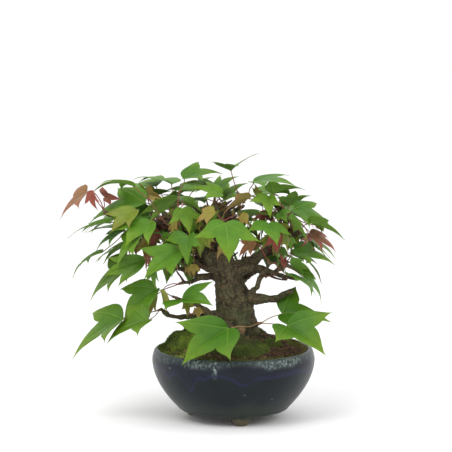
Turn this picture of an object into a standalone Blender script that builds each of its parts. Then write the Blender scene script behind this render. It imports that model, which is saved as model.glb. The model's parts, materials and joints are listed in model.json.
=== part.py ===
"""A small trident maple bonsai in a round, incurved, glazed pot on three feet.

The pot stands on its feet at z = 0 and +Z is up; the tree's front faces -Y.
Everything is laid out about the pot's axis, and at the end the whole plant is
moved so that the bottom centre of its bounding box is the origin.
Sizes are in millimetres up to the point where a mesh is made.
"""

import math
from dataclasses import dataclass

import bmesh
import bpy
from mathutils import Matrix, Vector
from mathutils.bvhtree import BVHTree

MM = 0.001

# Gaps that meshes which touch in the real plant keep
TOUCH_GAP = 0.35
MOSS_GAP = 0.8
LEAF_GAP = 0.5

# Pot
POT_DIAMETER = 122.0
POT_RIM_DIAMETER = 117.0
POT_BASE_DIAMETER = 76.0
POT_SIDE_DRAW_IN = 22.0
POT_SIDE_CURVE = 1.85
POT_CORNER = 2.5
POT_WALL = 5.0
POT_FLOOR = 5.0
POT_BODY_HEIGHT = 46.5
POT_WIDEST_BELOW_RIM = 8.5
POT_SEGMENTS = 40

# Feet
FOOT_HEIGHT = 6.5
FOOT_TOP_DIAMETER = 19.0
FOOT_TIP_DIAMETER = 9.0
FOOT_CIRCLE_RADIUS = 32.0
FOOT_INTO_BODY = 3.0
FOOT_SIDES = 12
FOOT_TURNS = {"front": -80.0, "back_right": 40.0, "back_left": 160.0}

# Drainage
DRAIN_HOLE_DIAMETER = 15.0
DRAIN_MESH_SIDE = 25.0
DRAIN_MESH_THICKNESS = 0.8
DRAIN_MESH_OPENINGS = 4
DRAIN_MESH_STRAND = 1.4
WIRE_DIAMETER = 1.5
WIRE_LEG_REACH = 9.0

# Soil
SOIL_BELOW_RIM = 2.0
SOIL_MOUND = 14.0
SOIL_ABOVE_FLOOR = 4.0

# Trunk
TRUNK_BASE_DIAMETER = 33.0
TRUNK_DIAMETER = 28.5
TRUNK_TOP_DIAMETER = 14.0
TRUNK_BURIED = 9.0
TRUNK_SIDES = 16
ROOT_SWELLS = 5
ROOT_SWELL = 0.10
LIMB_SIDES = 8

# Whole tree: every point of the tree is drawn for this height above the rim
DRAWN_TREE_HEIGHT = 147.0
TREE_HEIGHT = 147.0
TREE_SCALE = TREE_HEIGHT / DRAWN_TREE_HEIGHT

# Leaves
BLADE_THICKNESS = 0.5
STALK_WIDTH = 1.1
BUD_SIZE = 1.9
STALK_RINGS = 3
BLADE_ARCH = 0.10
BUDS_TO_TRY = 14

POT_HEIGHT = FOOT_HEIGHT + POT_BODY_HEIGHT
POT_INNER_RADIUS = POT_RIM_DIAMETER / 2 - POT_WALL
FLOOR_TOP = FOOT_HEIGHT + POT_FLOOR
SOIL_EDGE = POT_HEIGHT - SOIL_BELOW_RIM

COLOURS = {
    "glaze": ((0.035, 0.05, 0.085), 0.22, 0.0),
    "mesh": ((0.02, 0.02, 0.02), 0.6, 0.0),
    "wire": ((0.55, 0.56, 0.57), 0.35, 0.9),
    "soil": ((0.075, 0.045, 0.028), 0.95, 0.0),
    "moss": ((0.09, 0.13, 0.03), 0.95, 0.0),
    "bark": ((0.13, 0.095, 0.06), 0.85, 0.0),
    "leaf_green": ((0.12, 0.30, 0.06), 0.5, 0.0),
    "leaf_dark": ((0.045, 0.16, 0.03), 0.45, 0.0),
    "leaf_olive": ((0.28, 0.24, 0.07), 0.5, 0.0),
    "leaf_red": ((0.36, 0.09, 0.06), 0.5, 0.0),
}


@dataclass(frozen=True)
class Limb:
    """A limb's centreline, as (x, y, height above the rim, radius) points from its root to its tip."""

    name: str
    points: tuple


@dataclass(frozen=True)
class Leaf:
    """One leaf: where its stalk meets the blade, and its three lobe tips in front elevation.

    junction is (x, y, height above the rim). Each tip is (x, height above the
    rim). size is the true length of the middle lobe, so a lobe that spans less
    in elevation leans towards or away from the front by the rest.
    """

    junction: tuple
    tips: tuple
    size: float


@dataclass(frozen=True)
class Shoot:
    """Leaves that grow from one bud, which are one solid."""

    name: str
    finish: str
    leaves: tuple


LIMBS = (
    Limb("left", ((-5, 0, 60, 8.5), (-14, 0, 67, 7.5), (-24, 2, 72, 5.8), (-34, 4, 82, 4.4), (-42, 6, 90, 3.4),
                  (-52, 5, 93, 2.6), (-66, 3, 94, 2.2), (-76, 0, 95, 1.9), (-86, -4, 98, 1.6), (-95, -8, 103, 1.3))),
    Limb("left_back", ((-38, 5, 86, 3.0), (-48, 16, 88, 2.3), (-58, 27, 88, 1.9), (-70, 34, 90, 1.5))),
    Limb("left_up", ((-42, 6, 90, 2.6), (-50, 10, 98, 2.0), (-56, 14, 105, 1.5))),
    Limb("left_front", ((-30, 3, 78, 2.8), (-36, -8, 84, 2.1), (-42, -16, 88, 1.6))),
    Limb("leader", ((-6, 0, 64, 7.5), (-9, 3, 78, 5.4), (-11, 6, 88, 4.0), (-13, 8, 98, 2.9), (-14, 9, 108, 2.0))),
    Limb("leader_left", ((-12, 7, 92, 2.6), (-22, 8, 100, 2.0), (-30, 6, 106, 1.5))),
    Limb("leader_front", ((-10, 4, 82, 3.2), (-10, -8, 90, 2.3), (-6, -18, 95, 1.7), (0, -24, 99, 1.3))),
    Limb("leader_right", ((-12, 7, 94, 2.4), (-3, 8, 104, 1.9), (5, 6, 110, 1.5))),
    Limb("leader_back", ((-11, 6, 86, 3.2), (-6, 20, 94, 2.3), (2, 32, 100, 1.7), (8, 40, 102, 1.4))),
    Limb("right", ((0, 0, 58, 6.5), (11, 4, 63, 4.8), (20, 7, 69, 3.7), (27, 9, 76, 3.0), (33, 8, 84, 2.4),
                   (38, 4, 92, 1.9), (42, -1, 100, 1.5))),
    Limb("right_back", ((24, 8, 73, 2.8), (34, 20, 80, 2.1), (44, 30, 84, 1.6))),
    Limb("right_out", ((31, 8, 81, 2.4), (41, 6, 84, 1.9), (50, 0, 87, 1.5))),
    Limb("right_up", ((33, 8, 84, 2.2), (29, 6, 96, 1.7), (24, 2, 107, 1.4))),
    Limb("right_low", ((2, -1, 62, 4.5), (15, -3, 61, 3.4), (24, -4, 59, 2.7), (30, -4, 57, 2.2),
                       (39, -4, 54, 1.8), (49, -4, 53, 1.4))),
    Limb("right_low_up", ((30, -4, 57, 2.0), (36, -7, 63, 1.5))),
    Limb("knob", ((8, -4, 39, 4.5), (17, -7, 38, 3.9), (23, -8, 39, 3.2), (30, -8, 38, 2.4), (35, -7, 40, 2.1),
                  (44, -6, 44, 1.8))),
    Limb("upright", ((10, -5, 40, 3.4), (17, -8, 47, 2.6), (19, -9, 53, 2.2), (23, -10, 59, 1.8), (27, -11, 66, 1.4))),
    Limb("left_low", ((-8, -4, 24, 4.6), (-19, -8, 27, 3.2), (-25, -9, 32, 2.2), (-31, -10, 39, 1.6))),
    Limb("left_low_hook", ((-27, -9, 34, 1.8), (-34, -10, 37, 1.5), (-42, -11, 39, 1.2))),
    Limb("left_low_long", ((-8, -2, 24, 3.8), (-24, -3, 24, 2.4), (-32, -2, 24, 2.0), (-40, -1, 23, 1.8),
                           (-48, 1, 24, 1.5), (-54, 2, 29, 1.2))),
    Limb("left_mid", ((-6, 0, 54, 4.4), (-18, 1, 54, 3.0), (-24, 1, 53, 2.4), (-30, 0, 56, 2.0), (-35, 0, 58, 1.7),
                      (-43, 0, 61, 1.4))),
    Limb("left_mid_spur", ((-30, 0, 56, 1.6), (-32, 1, 63, 1.2))),
    Limb("left_mid_low", ((-25, 1, 53, 1.8), (-31, -2, 50, 1.5), (-38, -4, 50, 1.2))),
    Limb("left_high_twig", ((-6, -2, 58, 3.0), (-20, -6, 60, 2.0), (-30, -9, 66, 1.5))),
    Limb("back_low", ((2, 2, 44, 5.0), (6, 16, 48, 3.4), (12, 28, 52, 2.5), (20, 38, 54, 1.8))),
    Limb("back_low_left", ((4, 12, 47, 2.8), (-10, 24, 52, 2.1), (-22, 34, 56, 1.6))),
    Limb("back_mid", ((-4, 2, 60, 4.4), (-14, 18, 66, 2.8), (-28, 30, 68, 2.0), (-42, 36, 70, 1.5))),
    Limb("root_shoot", ((10, -8, 17, 2.6), (16, -15, 20, 1.8), (19, -20, 22, 1.4))),
)

SHOOTS = (
    Shoot("shoot_low_front", "leaf_green", (
        Leaf((-4, -54, 24), ((-43, 28), (-39, -3), (-2, 4)), 44),
        Leaf((36, -14, 28), ((47, 44), (73, 23), (50, 14)), 38),
        Leaf((39, -32, 22), ((73, 31), (68, 2), (30, 13)), 38))),
    Shoot("shoot_low_left", "leaf_green", (
        Leaf((-82, -20, 25), ((-105, 24), (-121, -4), (-94, 10)), 42),
        Leaf((-63, -34, 26), ((-79, 33), (-95, 11), (-70, 18)), 34))),
    Shoot("leaf_left_low_dark", "leaf_dark", (
        Leaf((-57, -8, 46), ((-85, 43), (-84, 20), (-63, 28)), 37),)),
    Shoot("shoot_left_narrow", "leaf_olive", (
        Leaf((-57, -15, 45), ((-66, 33), (-63, 27), (-57, 29)), 19),
        Leaf((-54, -22, 47), ((-57, 34), (-55, 29), (-51, 38)), 18))),
    Shoot("shoot_left_mid", "leaf_green", (
        Leaf((-66, -16, 69), ((-95, 70), (-97, 57), (-86, 49)), 33),
        Leaf((-57, -10, 65), ((-64, 51), (-57, 46), (-54, 53)), 20))),
    Shoot("leaf_left_mid_far", "leaf_green", (
        Leaf((-80, 6, 59), ((-94, 63), (-109, 36), (-93, 43)), 36),)),
    Shoot("leaf_left_drooping", "leaf_dark", (
        Leaf((-69, -18, 88), ((-84, 84), (-88, 64), (-73, 74)), 31),)),
    Shoot("leaf_left_centre", "leaf_dark", (
        Leaf((-40, -26, 77), ((-71, 78), (-67, 57), (-45, 59)), 34),)),
    Shoot("shoot_left_wide", "leaf_green", (
        Leaf((-64, 6, 95), ((-85, 98), (-104, 85), (-81, 84)), 40),
        Leaf((-61, -18, 98), ((-91, 88), (-80, 80), (-62, 80)), 30))),
    Shoot("shoot_left_upper", "leaf_green", (
        Leaf((-66, 4, 109), ((-87, 114), (-108, 92), (-91, 92)), 40),
        Leaf((-66, 16, 109), ((-61, 117), (-46, 111), (-56, 101)), 21))),
    Shoot("leaf_left_flushed", "leaf_red", (
        Leaf((-72, -12, 106), ((-97, 101), (-91, 90), (-77, 93)), 27),)),
    Shoot("shoot_upper_left", "leaf_green", (
        Leaf((-42, -6, 113), ((-63, 110), (-71, 101), (-64, 92)), 31),
        Leaf((-48, 8, 110), ((-42, 119), (-32, 120), (-36, 112)), 20))),
    Shoot("shoot_red_tip", "leaf_red", (
        Leaf((-109, -6, 118), ((-118, 116), (-130, 99), (-114, 107)), 26),
        Leaf((-104, -15, 121), ((-110, 110), (-101, 106), (-98, 113)), 15),
        Leaf((-96, 4, 113), ((-98, 120), (-83, 112), (-91, 107)), 14))),
    Shoot("shoot_olive_tip", "leaf_olive", (
        Leaf((-70, 20, 110), ((-78, 117), (-85, 108), (-77, 106)), 15),
        Leaf((-66, 26, 112), ((-72, 122), (-76, 118), (-71, 112)), 11),
        Leaf((-64, 16, 114), ((-62, 123), (-52, 112), (-59, 109)), 15))),
    Shoot("shoot_crown_left", "leaf_green", (
        Leaf((-37, 2, 128), ((-26, 140), (-9, 137), (-22, 129)), 28),
        Leaf((-38, -22, 108), ((-50, 96), (-34, 87), (-23, 96)), 24),
        Leaf((-37, -10, 112), ((-29, 115), (-22, 104), (-33, 102)), 18))),
    Shoot("shoot_crown_fan", "leaf_green", (
        Leaf((-15, -6, 120), ((-28, 127), (-40, 125), (-29, 119)), 25),
        Leaf((-13, 16, 115), ((-9, 127), (3, 129), (-1, 119)), 22))),
    Shoot("shoot_crown_front", "leaf_dark", (
        Leaf((-9, -14, 118), ((-23, 123), (-34, 119), (-22, 112)), 25),
        Leaf((-7, 8, 110), ((-3, 122), (10, 124), (4, 113)), 23))),
    Shoot("leaf_crown_top", "leaf_green", (
        Leaf((-2, 10, 133), ((-17, 140), (3, 139), (19, 145)), 26),)),
    Shoot("leaf_front_upper_left", "leaf_green", (
        Leaf((-33, -38, 89), ((-50, 84), (-34, 68), (-22, 83)), 24),)),
    Shoot("leaf_front_centre", "leaf_green", (
        Leaf((-6, -42, 100), ((-30, 89), (-3, 72), (20, 85)), 32),)),
    Shoot("shoot_front_small", "leaf_olive", (
        Leaf((-17, -28, 90), ((-22, 84), (-18, 79), (-13, 84)), 12),
        Leaf((-6, -26, 82), ((-12, 79), (-13, 70), (-6, 72)), 14))),
    Shoot("leaf_front_flushed", "leaf_red", (
        Leaf((15, -30, 85), ((5, 83), (3, 73), (13, 74)), 16),)),
    Shoot("shoot_crown_middle", "leaf_olive", (
        Leaf((12, -18, 115), ((1, 118), (-9, 104), (4, 105)), 24),
        Leaf((18, 12, 112), ((13, 119), (16, 123), (21, 118)), 12))),
    Shoot("shoot_front_pair", "leaf_olive", (
        Leaf((-14, -30, 107), ((-24, 107), (-29, 98), (-20, 97)), 17),
        Leaf((8, -32, 106), ((1, 103), (2, 95), (10, 96)), 13))),
    Shoot("shoot_right_crown", "leaf_green", (
        Leaf((29, 2, 116), ((27, 127), (53, 122), (44, 112)), 27),
        Leaf((26, -20, 117), ((11, 113), (27, 102), (35, 110)), 20))),
    Shoot("shoot_right_upper", "leaf_green", (
        Leaf((42, 12, 106), ((32, 113), (46, 120), (58, 114)), 23),
        Leaf((45, -8, 107), ((63, 108), (74, 95), (56, 94)), 32),
        Leaf((34, -14, 104), ((44, 105), (40, 97), (32, 97)), 12))),
    Shoot("shoot_right_mid", "leaf_dark", (
        Leaf((50, -18, 97), ((64, 100), (77, 86), (60, 86)), 30),
        Leaf((41, -28, 102), ((49, 99), (56, 84), (44, 89)), 24))),
    Shoot("leaf_front_right", "leaf_dark", (
        Leaf((26, -34, 106), ((9, 99), (32, 90), (43, 95)), 26),)),
    Shoot("shoot_right_young", "leaf_red", (
        Leaf((57, -8, 88), ((70, 82), (77, 74), (65, 74)), 24),
        Leaf((56, -16, 88), ((51, 83), (53, 77), (59, 80)), 13),
        Leaf((62, 8, 91), ((68, 95), (74, 91), (68, 87)), 13))),
    Shoot("shoot_inner_young", "leaf_olive", (
        Leaf((26, -8, 86), ((18, 82), (20, 75), (27, 76)), 14),
        Leaf((34, -4, 83), ((26, 79), (29, 70), (36, 73)), 14),
        Leaf((37, -22, 89), ((34, 81), (40, 75), (42, 82)), 15))),
    Shoot("shoot_right_low", "leaf_green", (
        Leaf((46, -12, 74), ((60, 78), (76, 66), (57, 66)), 31),
        Leaf((43, 8, 70), ((54, 72), (63, 64), (53, 61)), 22),
        Leaf((42, -22, 68), ((51, 71), (58, 63), (52, 55)), 19))),
    Shoot("leaf_low_arched", "leaf_dark", (
        Leaf((-38, -28, 41), ((-51, 35), (-15, 39), (-14, 54)), 28),)),
    Shoot("shoot_low_olive", "leaf_olive", (
        Leaf((-36, -20, 38), ((-39, 33), (-34, 27), (-29, 33)), 13),
        Leaf((-28, -18, 33), ((-31, 29), (-26, 23), (-22, 28)), 12))),
)

# The side that faces away is filled by shoots of three leaves, spaced evenly over the crown's shell
BACK_SHOOTS = 15
BACK_CROWN_CENTRE = (-22.0, 2.0, 74.0)
BACK_CROWN_RADII = (76.0, 44.0, 46.0)
BACK_LEAF_SIZES = (34.0, 30.0, 27.0)
BACK_DROOP = 38.0
BACK_LEAF_TURNS = (-17.0, 17.0, 2.0)
BACK_LEAF_REACHES = (1.0, 1.0, 0.66)
LOBE_SPREAD = 50.0
SIDE_LOBE_SHARE = 0.88

# A flat leaf of unit length: its stalk at (0, 0), middle lobe along +u, one half of its edge
SIDE_LOBE_TIP = (SIDE_LOBE_SHARE * math.cos(math.radians(LOBE_SPREAD)),
                 SIDE_LOBE_SHARE * math.sin(math.radians(LOBE_SPREAD)))
HALF_EDGE = ((0.03, 0.22), (0.22, 0.50), SIDE_LOBE_TIP, (0.43, 0.24), (0.70, 0.19))
MIDRIB = ((0.30, 0.0), (0.62, 0.0))
SIDE_RIB = (SIDE_LOBE_TIP[0] * 0.5, SIDE_LOBE_TIP[1] * 0.5)


# ---------------------------------------------------------------- helpers

def remove_all_objects():
    for old in list(bpy.data.objects):
        bpy.data.objects.remove(old, do_unlink=True)


def make_material(name):
    colour, roughness, metallic = COLOURS[name]
    material = bpy.data.materials.new(name)
    material.use_nodes = True
    shader = material.node_tree.nodes["Principled BSDF"]
    shader.inputs["Base Color"].default_value = (*colour, 1.0)
    shader.inputs["Roughness"].default_value = roughness
    shader.inputs["Metallic"].default_value = metallic
    material.diffuse_color = (*colour, 1.0)
    return material


def add_object(name, bm, material, parent, smooth_below=40.0):
    """Turns a bmesh in millimetres into a named object in metres."""
    bmesh.ops.recalc_face_normals(bm, faces=bm.faces)
    bmesh.ops.scale(bm, vec=(MM, MM, MM), verts=bm.verts)
    mesh = bpy.data.meshes.new(name)
    bm.to_mesh(mesh)
    bm.free()
    mesh.shade_smooth()
    mesh.set_sharp_from_angle(angle=math.radians(smooth_below))
    obj = bpy.data.objects.new(name, mesh)
    bpy.context.collection.objects.link(obj)
    obj.data.materials.append(material)
    obj.parent = parent
    return obj


def make_guide(obj):
    """A cutter or an operand: it shapes other objects and isn't a piece."""
    obj.hide_render = True
    obj.display_type = "WIRE"


def add_boolean(obj, other, operation):
    modifier = obj.modifiers.new(f"{operation.lower()}_{other.name}", "BOOLEAN")
    modifier.operation = operation
    modifier.solver = "EXACT"
    modifier.object = other


def spun(profile, segments, closed):
    """A (radius, height) profile turned about +Z; closed profiles make a ring with a hole."""
    bm = bmesh.new()
    verts = [bm.verts.new((radius, 0.0, height)) for radius, height in profile]
    ends = list(zip(verts, verts[1:]))
    if closed:
        ends.append((verts[-1], verts[0]))
    edges = [bm.edges.new(pair) for pair in ends]
    bmesh.ops.spin(bm, geom=verts + edges, cent=(0, 0, 0), axis=(0, 0, 1), angle=math.tau,
                   steps=segments, use_merge=True, use_duplicate=False)
    bmesh.ops.remove_doubles(bm, verts=bm.verts, dist=1e-4)
    return bm


def tube(points, radii, sides, ring_shape=None):
    """A tapered tube with flat ends; ring_shape(turn, index) scales a ring's radius."""
    bm = bmesh.new()
    points = [Vector(point) for point in points]
    side = None
    rings = []
    for index, (point, radius) in enumerate(zip(points, radii)):
        along = (points[min(index + 1, len(points) - 1)] - points[max(index - 1, 0)]).normalized()
        if side is None:
            side = along.orthogonal().normalized() if abs(along.z) < 0.9 else Vector((1, 0, 0))
        side = (side - along * side.dot(along)).normalized()
        across = along.cross(side)
        ring = []
        for step in range(sides):
            turn = math.tau * step / sides
            reach = radius * (ring_shape(turn, index) if ring_shape else 1.0)
            ring.append(bm.verts.new(point + reach * (side * math.cos(turn) + across * math.sin(turn))))
        rings.append(ring)
    for low, high in zip(rings, rings[1:]):
        for step in range(sides):
            after = (step + 1) % sides
            bm.faces.new((low[step], low[after], high[after], high[step]))
    bm.faces.new(rings[0])
    bm.faces.new(rings[-1])
    return bm


# ---------------------------------------------------------------- pot

def pot_wall_radius(height):
    """The outer radius of the pot's body at a height above the ground."""
    widest = POT_HEIGHT - POT_WIDEST_BELOW_RIM
    if height >= widest:
        share = (height - widest) / POT_WIDEST_BELOW_RIM
        return POT_DIAMETER / 2 - (POT_DIAMETER - POT_RIM_DIAMETER) / 2 * share ** 2
    fall = (widest - height) / (widest - FOOT_HEIGHT)
    return POT_DIAMETER / 2 - POT_SIDE_DRAW_IN * fall ** POT_SIDE_CURVE


def pot_inside_radius(height):
    return pot_wall_radius(height) - POT_WALL


def pot_profile():
    widest = POT_HEIGHT - POT_WIDEST_BELOW_RIM
    corner = FOOT_HEIGHT + POT_CORNER
    outer = [(POT_BASE_DIAMETER / 2, FOOT_HEIGHT),
             (pot_wall_radius(corner) - POT_CORNER * 0.6, FOOT_HEIGHT + POT_CORNER * 0.3)]
    for step in range(8):
        height = corner + (widest - corner) * step / 8
        outer.append((pot_wall_radius(height), height))
    outer += [(pot_wall_radius(h), h) for h in (widest, widest + POT_WIDEST_BELOW_RIM / 2, POT_HEIGHT - 1.4)]
    rim = POT_RIM_DIAMETER / 2
    lip = [(rim - 1.2, POT_HEIGHT), (rim - POT_WALL + 1.2, POT_HEIGHT)]
    inner = [(pot_inside_radius(h), h) for h in (POT_HEIGHT - 1.4, widest, widest - 8, widest - 16)]
    corner = widest - 24
    inner.append((pot_inside_radius(corner), corner))
    inner.append((pot_inside_radius(FLOOR_TOP + 4), FLOOR_TOP + 3))
    inner.append((POT_BASE_DIAMETER / 2 - POT_WALL, FLOOR_TOP))
    hole = DRAIN_HOLE_DIAMETER / 2
    return outer + lip + inner + [(hole, FLOOR_TOP), (hole, FOOT_HEIGHT)]


def foot_centre(turn):
    return Vector((FOOT_CIRCLE_RADIUS * math.cos(math.radians(turn)),
                   FOOT_CIRCLE_RADIUS * math.sin(math.radians(turn)), 0.0))


def build_pot(parent):
    pot = add_object("pot", spun(pot_profile(), POT_SEGMENTS, closed=True), make_material("glaze"), parent)
    top = FOOT_HEIGHT + FOOT_INTO_BODY
    for name, turn in FOOT_TURNS.items():
        centre = foot_centre(turn)
        heights = (0.0, 0.9, FOOT_HEIGHT * 0.6, top)
        radii = (FOOT_TIP_DIAMETER / 2 - 0.7, FOOT_TIP_DIAMETER / 2, FOOT_TOP_DIAMETER * 0.40, FOOT_TOP_DIAMETER / 2)
        foot = tube([centre + Vector((0, 0, height)) for height in heights], radii, FOOT_SIDES)
        guide = add_object(f"foot_{name}", foot, pot.data.materials[0], parent)
        make_guide(guide)
        add_boolean(pot, guide, "UNION")
    return pot


def build_drainage(parent):
    """A plastic mesh over the drain hole and the bent wire that holds it."""
    bottom = FLOOR_TOP + TOUCH_GAP
    pitch = (DRAIN_MESH_SIDE - DRAIN_MESH_STRAND) / DRAIN_MESH_OPENINGS
    lines = []
    for step in range(DRAIN_MESH_OPENINGS + 1):
        start = -DRAIN_MESH_SIDE / 2 + pitch * step
        lines += [start, start + DRAIN_MESH_STRAND]
    bm = bmesh.new()
    grid = [[bm.verts.new((x, y, bottom)) for x in lines] for y in lines]
    for row in range(len(lines) - 1):
        for column in range(len(lines) - 1):
            if row % 2 and column % 2:
                continue
            bm.faces.new((grid[row][column], grid[row][column + 1],
                          grid[row + 1][column + 1], grid[row + 1][column]))
    up = bmesh.ops.extrude_face_region(bm, geom=list(bm.faces))
    lifted = [item for item in up["geom"] if isinstance(item, bmesh.types.BMVert)]
    bmesh.ops.translate(bm, vec=(0, 0, DRAIN_MESH_THICKNESS), verts=lifted)
    add_object("drain_mesh", bm, make_material("mesh"), parent)

    high = bottom + DRAIN_MESH_THICKNESS + TOUCH_GAP + WIRE_DIAMETER / 2
    low = FOOT_HEIGHT - TOUCH_GAP - WIRE_DIAMETER / 2
    leg = pitch / 2
    half = [(0.0, high), (leg - 1.2, high), (leg, high - 1.2), (leg, low + 1.5), (leg + 1.5, low),
            (leg + WIRE_LEG_REACH, low)]
    route = [(-x, leg, z) for x, z in reversed(half)] + [(x, leg, z) for x, z in half[1:]]
    wire = tube(route, [WIRE_DIAMETER / 2] * len(route), 8)
    add_object("mesh_wire", wire, make_material("wire"), parent)


# ---------------------------------------------------------------- soil and moss

def soil_height(radius):
    """The top of the soil mound at a distance from the pot's axis."""
    share = min(1.0, radius / POT_INNER_RADIUS)
    return SOIL_EDGE + SOIL_MOUND * (1.0 - share ** 2)


def trunk_base_outline(turn, reach):
    """The radius of the trunk's foot, which swells over each main root."""
    return reach * (1.0 + ROOT_SWELL * math.cos(ROOT_SWELLS * turn + 0.6))


def build_soil(parent, trunk_foot):
    edge = pot_inside_radius(SOIL_EDGE) - TOUCH_GAP
    bottom = FLOOR_TOP + SOIL_ABOVE_FLOOR
    profile = [(0.0, bottom), (POT_BASE_DIAMETER / 2 - POT_WALL - 2.0, bottom)]
    widest = POT_HEIGHT - POT_WIDEST_BELOW_RIM
    for height in (widest - 24, widest - 16, widest - 8, widest):
        profile.append((pot_inside_radius(height) - 2 * TOUCH_GAP, height))
    profile.append((edge - TOUCH_GAP, SOIL_EDGE))
    for step in range(7, -1, -1):
        radius = POT_INNER_RADIUS * step / 8
        profile.append((radius, soil_height(radius)))
    soil = add_object("soil", spun(profile, POT_SEGMENTS, closed=False), make_material("soil"), parent)
    add_boolean(soil, trunk_foot, "DIFFERENCE")
    return soil


def build_moss(parent):
    """Cushions of moss on the soil: (name, middle turn, half turn, inner radius, outer radius, thickness)."""
    material = make_material("moss")
    inner = TRUNK_BASE_DIAMETER / 2 * (1 + ROOT_SWELL) + 3.0
    edge = POT_INNER_RADIUS - 1.5
    patches = (
        ("moss_left", 172.0, 56.0, inner + 1, edge, 7.5),
        ("moss_front", -82.0, 37.0, inner, edge - 3, 3.4),
        ("moss_back", 82.0, 34.0, inner + 4, edge - 5, 4.0),
        ("moss_right_rim", 4.0, 16.0, edge - 13, edge, 2.4),
        ("moss_right", -32.0, 12.0, inner + 8, inner + 19, 2.6),
    )
    rings, around = 4, 16
    for name, middle, half, near, far, thickness in patches:
        bm = bmesh.new()
        shells = {"top": [], "bottom": []}
        for ring in range(rings + 1):
            share = ring / rings
            rows = {"top": [], "bottom": []}
            for step in range(around if ring else 1):
                turn = math.tau * step / around
                wave = 1.0 + 0.07 * math.sin(3 * turn + middle) if ring else 1.0
                reach = share * wave / 1.07
                angle = math.radians(middle + half * reach * math.cos(turn))
                radius = (near + far) / 2 + (far - near) / 2 * reach * math.sin(turn)
                place = Vector((radius * math.cos(angle), radius * math.sin(angle), soil_height(radius) + MOSS_GAP))
                swell = thickness * (0.25 + 0.75 * math.sqrt(max(0.0, 1.0 - share ** 2.4)))
                swell *= 1.0 + 0.16 * math.sin(5 * angle + 0.4 * radius)
                rows["bottom"].append(bm.verts.new(place))
                rows["top"].append(bm.verts.new(place + Vector((0, 0, swell))))
            shells["top"].append(rows["top"])
            shells["bottom"].append(rows["bottom"])
        for shell in shells.values():
            for low, high in zip(shell, shell[1:]):
                for step in range(around):
                    after = (step + 1) % around
                    if len(low) == 1:
                        bm.faces.new((low[0], high[step], high[after]))
                    else:
                        bm.faces.new((low[step], high[step], high[after], low[after]))
        for step in range(around):
            after = (step + 1) % around
            bm.faces.new((shells["top"][-1][step], shells["top"][-1][after],
                          shells["bottom"][-1][after], shells["bottom"][-1][step]))
        add_object(name, bm, material, parent)


# ---------------------------------------------------------------- wood

def tree_point(x, y, height):
    """A point of the tree, drawn above the rim of the pot, at the tree's real size and place."""
    ground = SOIL_EDGE + SOIL_MOUND
    drawn_ground = SOIL_MOUND - SOIL_BELOW_RIM
    return Vector((x * TREE_SCALE, y * TREE_SCALE, ground + (height - drawn_ground) * TREE_SCALE))


def trunk_points():
    """The trunk's centreline and radii, from its buried foot to where the leaders part."""
    top = TRUNK_TOP_DIAMETER / 2
    full = TRUNK_DIAMETER / 2
    centre = [(2, 0, 16), (2, 0, 21), (1, 0, 28), (0, 0, 36), (-2, 0, 43), (-4, 0, 50), (-5, 0, 57), (-6, 0, 64)]
    radii = [full * 1.08, full * 1.02, full, full * 0.97, full * 0.86, full * 0.74, full * 0.66, top * 1.05]
    points = [tree_point(*place) for place in centre]
    return points, radii


def trunk_foot_points(extra):
    """The buried frustum under the trunk, or with extra the hole that it stands in."""
    at = tree_point(2, 0, 12)
    base = TRUNK_BASE_DIAMETER / 2
    places = [at - Vector((0, 0, TRUNK_BURIED + extra)), at]
    return places, [base * 0.86 + extra, base + extra]


def build_trunk_hole(parent):
    places, radii = trunk_foot_points(2 * TOUCH_GAP)
    places.append(places[-1] + Vector((0, 0, SOIL_MOUND)))
    radii.append(radii[-1])
    hole = tube(places, radii, TRUNK_SIDES, lambda turn, index: trunk_base_outline(turn, 1.0))
    guide = add_object("trunk_hole", hole, make_material("soil"), parent)
    make_guide(guide)
    return guide


def build_wood(parent):
    """The trunk with its limbs, which are one grown piece."""
    foot, foot_radii = trunk_foot_points(0.0)
    rise, radii = trunk_points()
    rings = foot + rise

    def swell(turn, index):
        share = (1.0, 1.0, 0.7, 0.35)[index] if index < 4 else 0.12
        return 1.0 + ROOT_SWELL * share * math.cos(ROOT_SWELLS * turn + 0.6)

    material = make_material("bark")
    wood = add_object("wood", tube(rings, foot_radii + radii, TRUNK_SIDES, swell), material, parent)
    for limb in LIMBS:
        places = [tree_point(*point[:3]) for point in limb.points]
        widths = [point[3] for point in limb.points]
        places.append(places[-1] + (places[-1] - places[-2]).normalized() * widths[-1] * 0.8)
        widths.append(widths[-1] * 0.45)
        guide = add_object(f"limb_{limb.name}", tube(places, widths, LIMB_SIDES), material, parent)
        make_guide(guide)
        add_boolean(wood, guide, "UNION")
    return wood


def evaluated_polygons(obj):
    """An object's finished mesh in millimetres, about the pot's axis."""
    mesh = obj.evaluated_get(bpy.context.evaluated_depsgraph_get()).to_mesh()
    places = [vertex.co / MM for vertex in mesh.vertices]
    polygons = [tuple(polygon.vertices) for polygon in mesh.polygons]
    obj.evaluated_get(bpy.context.evaluated_depsgraph_get()).to_mesh_clear()
    return places, polygons


# ---------------------------------------------------------------- leaves

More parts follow.
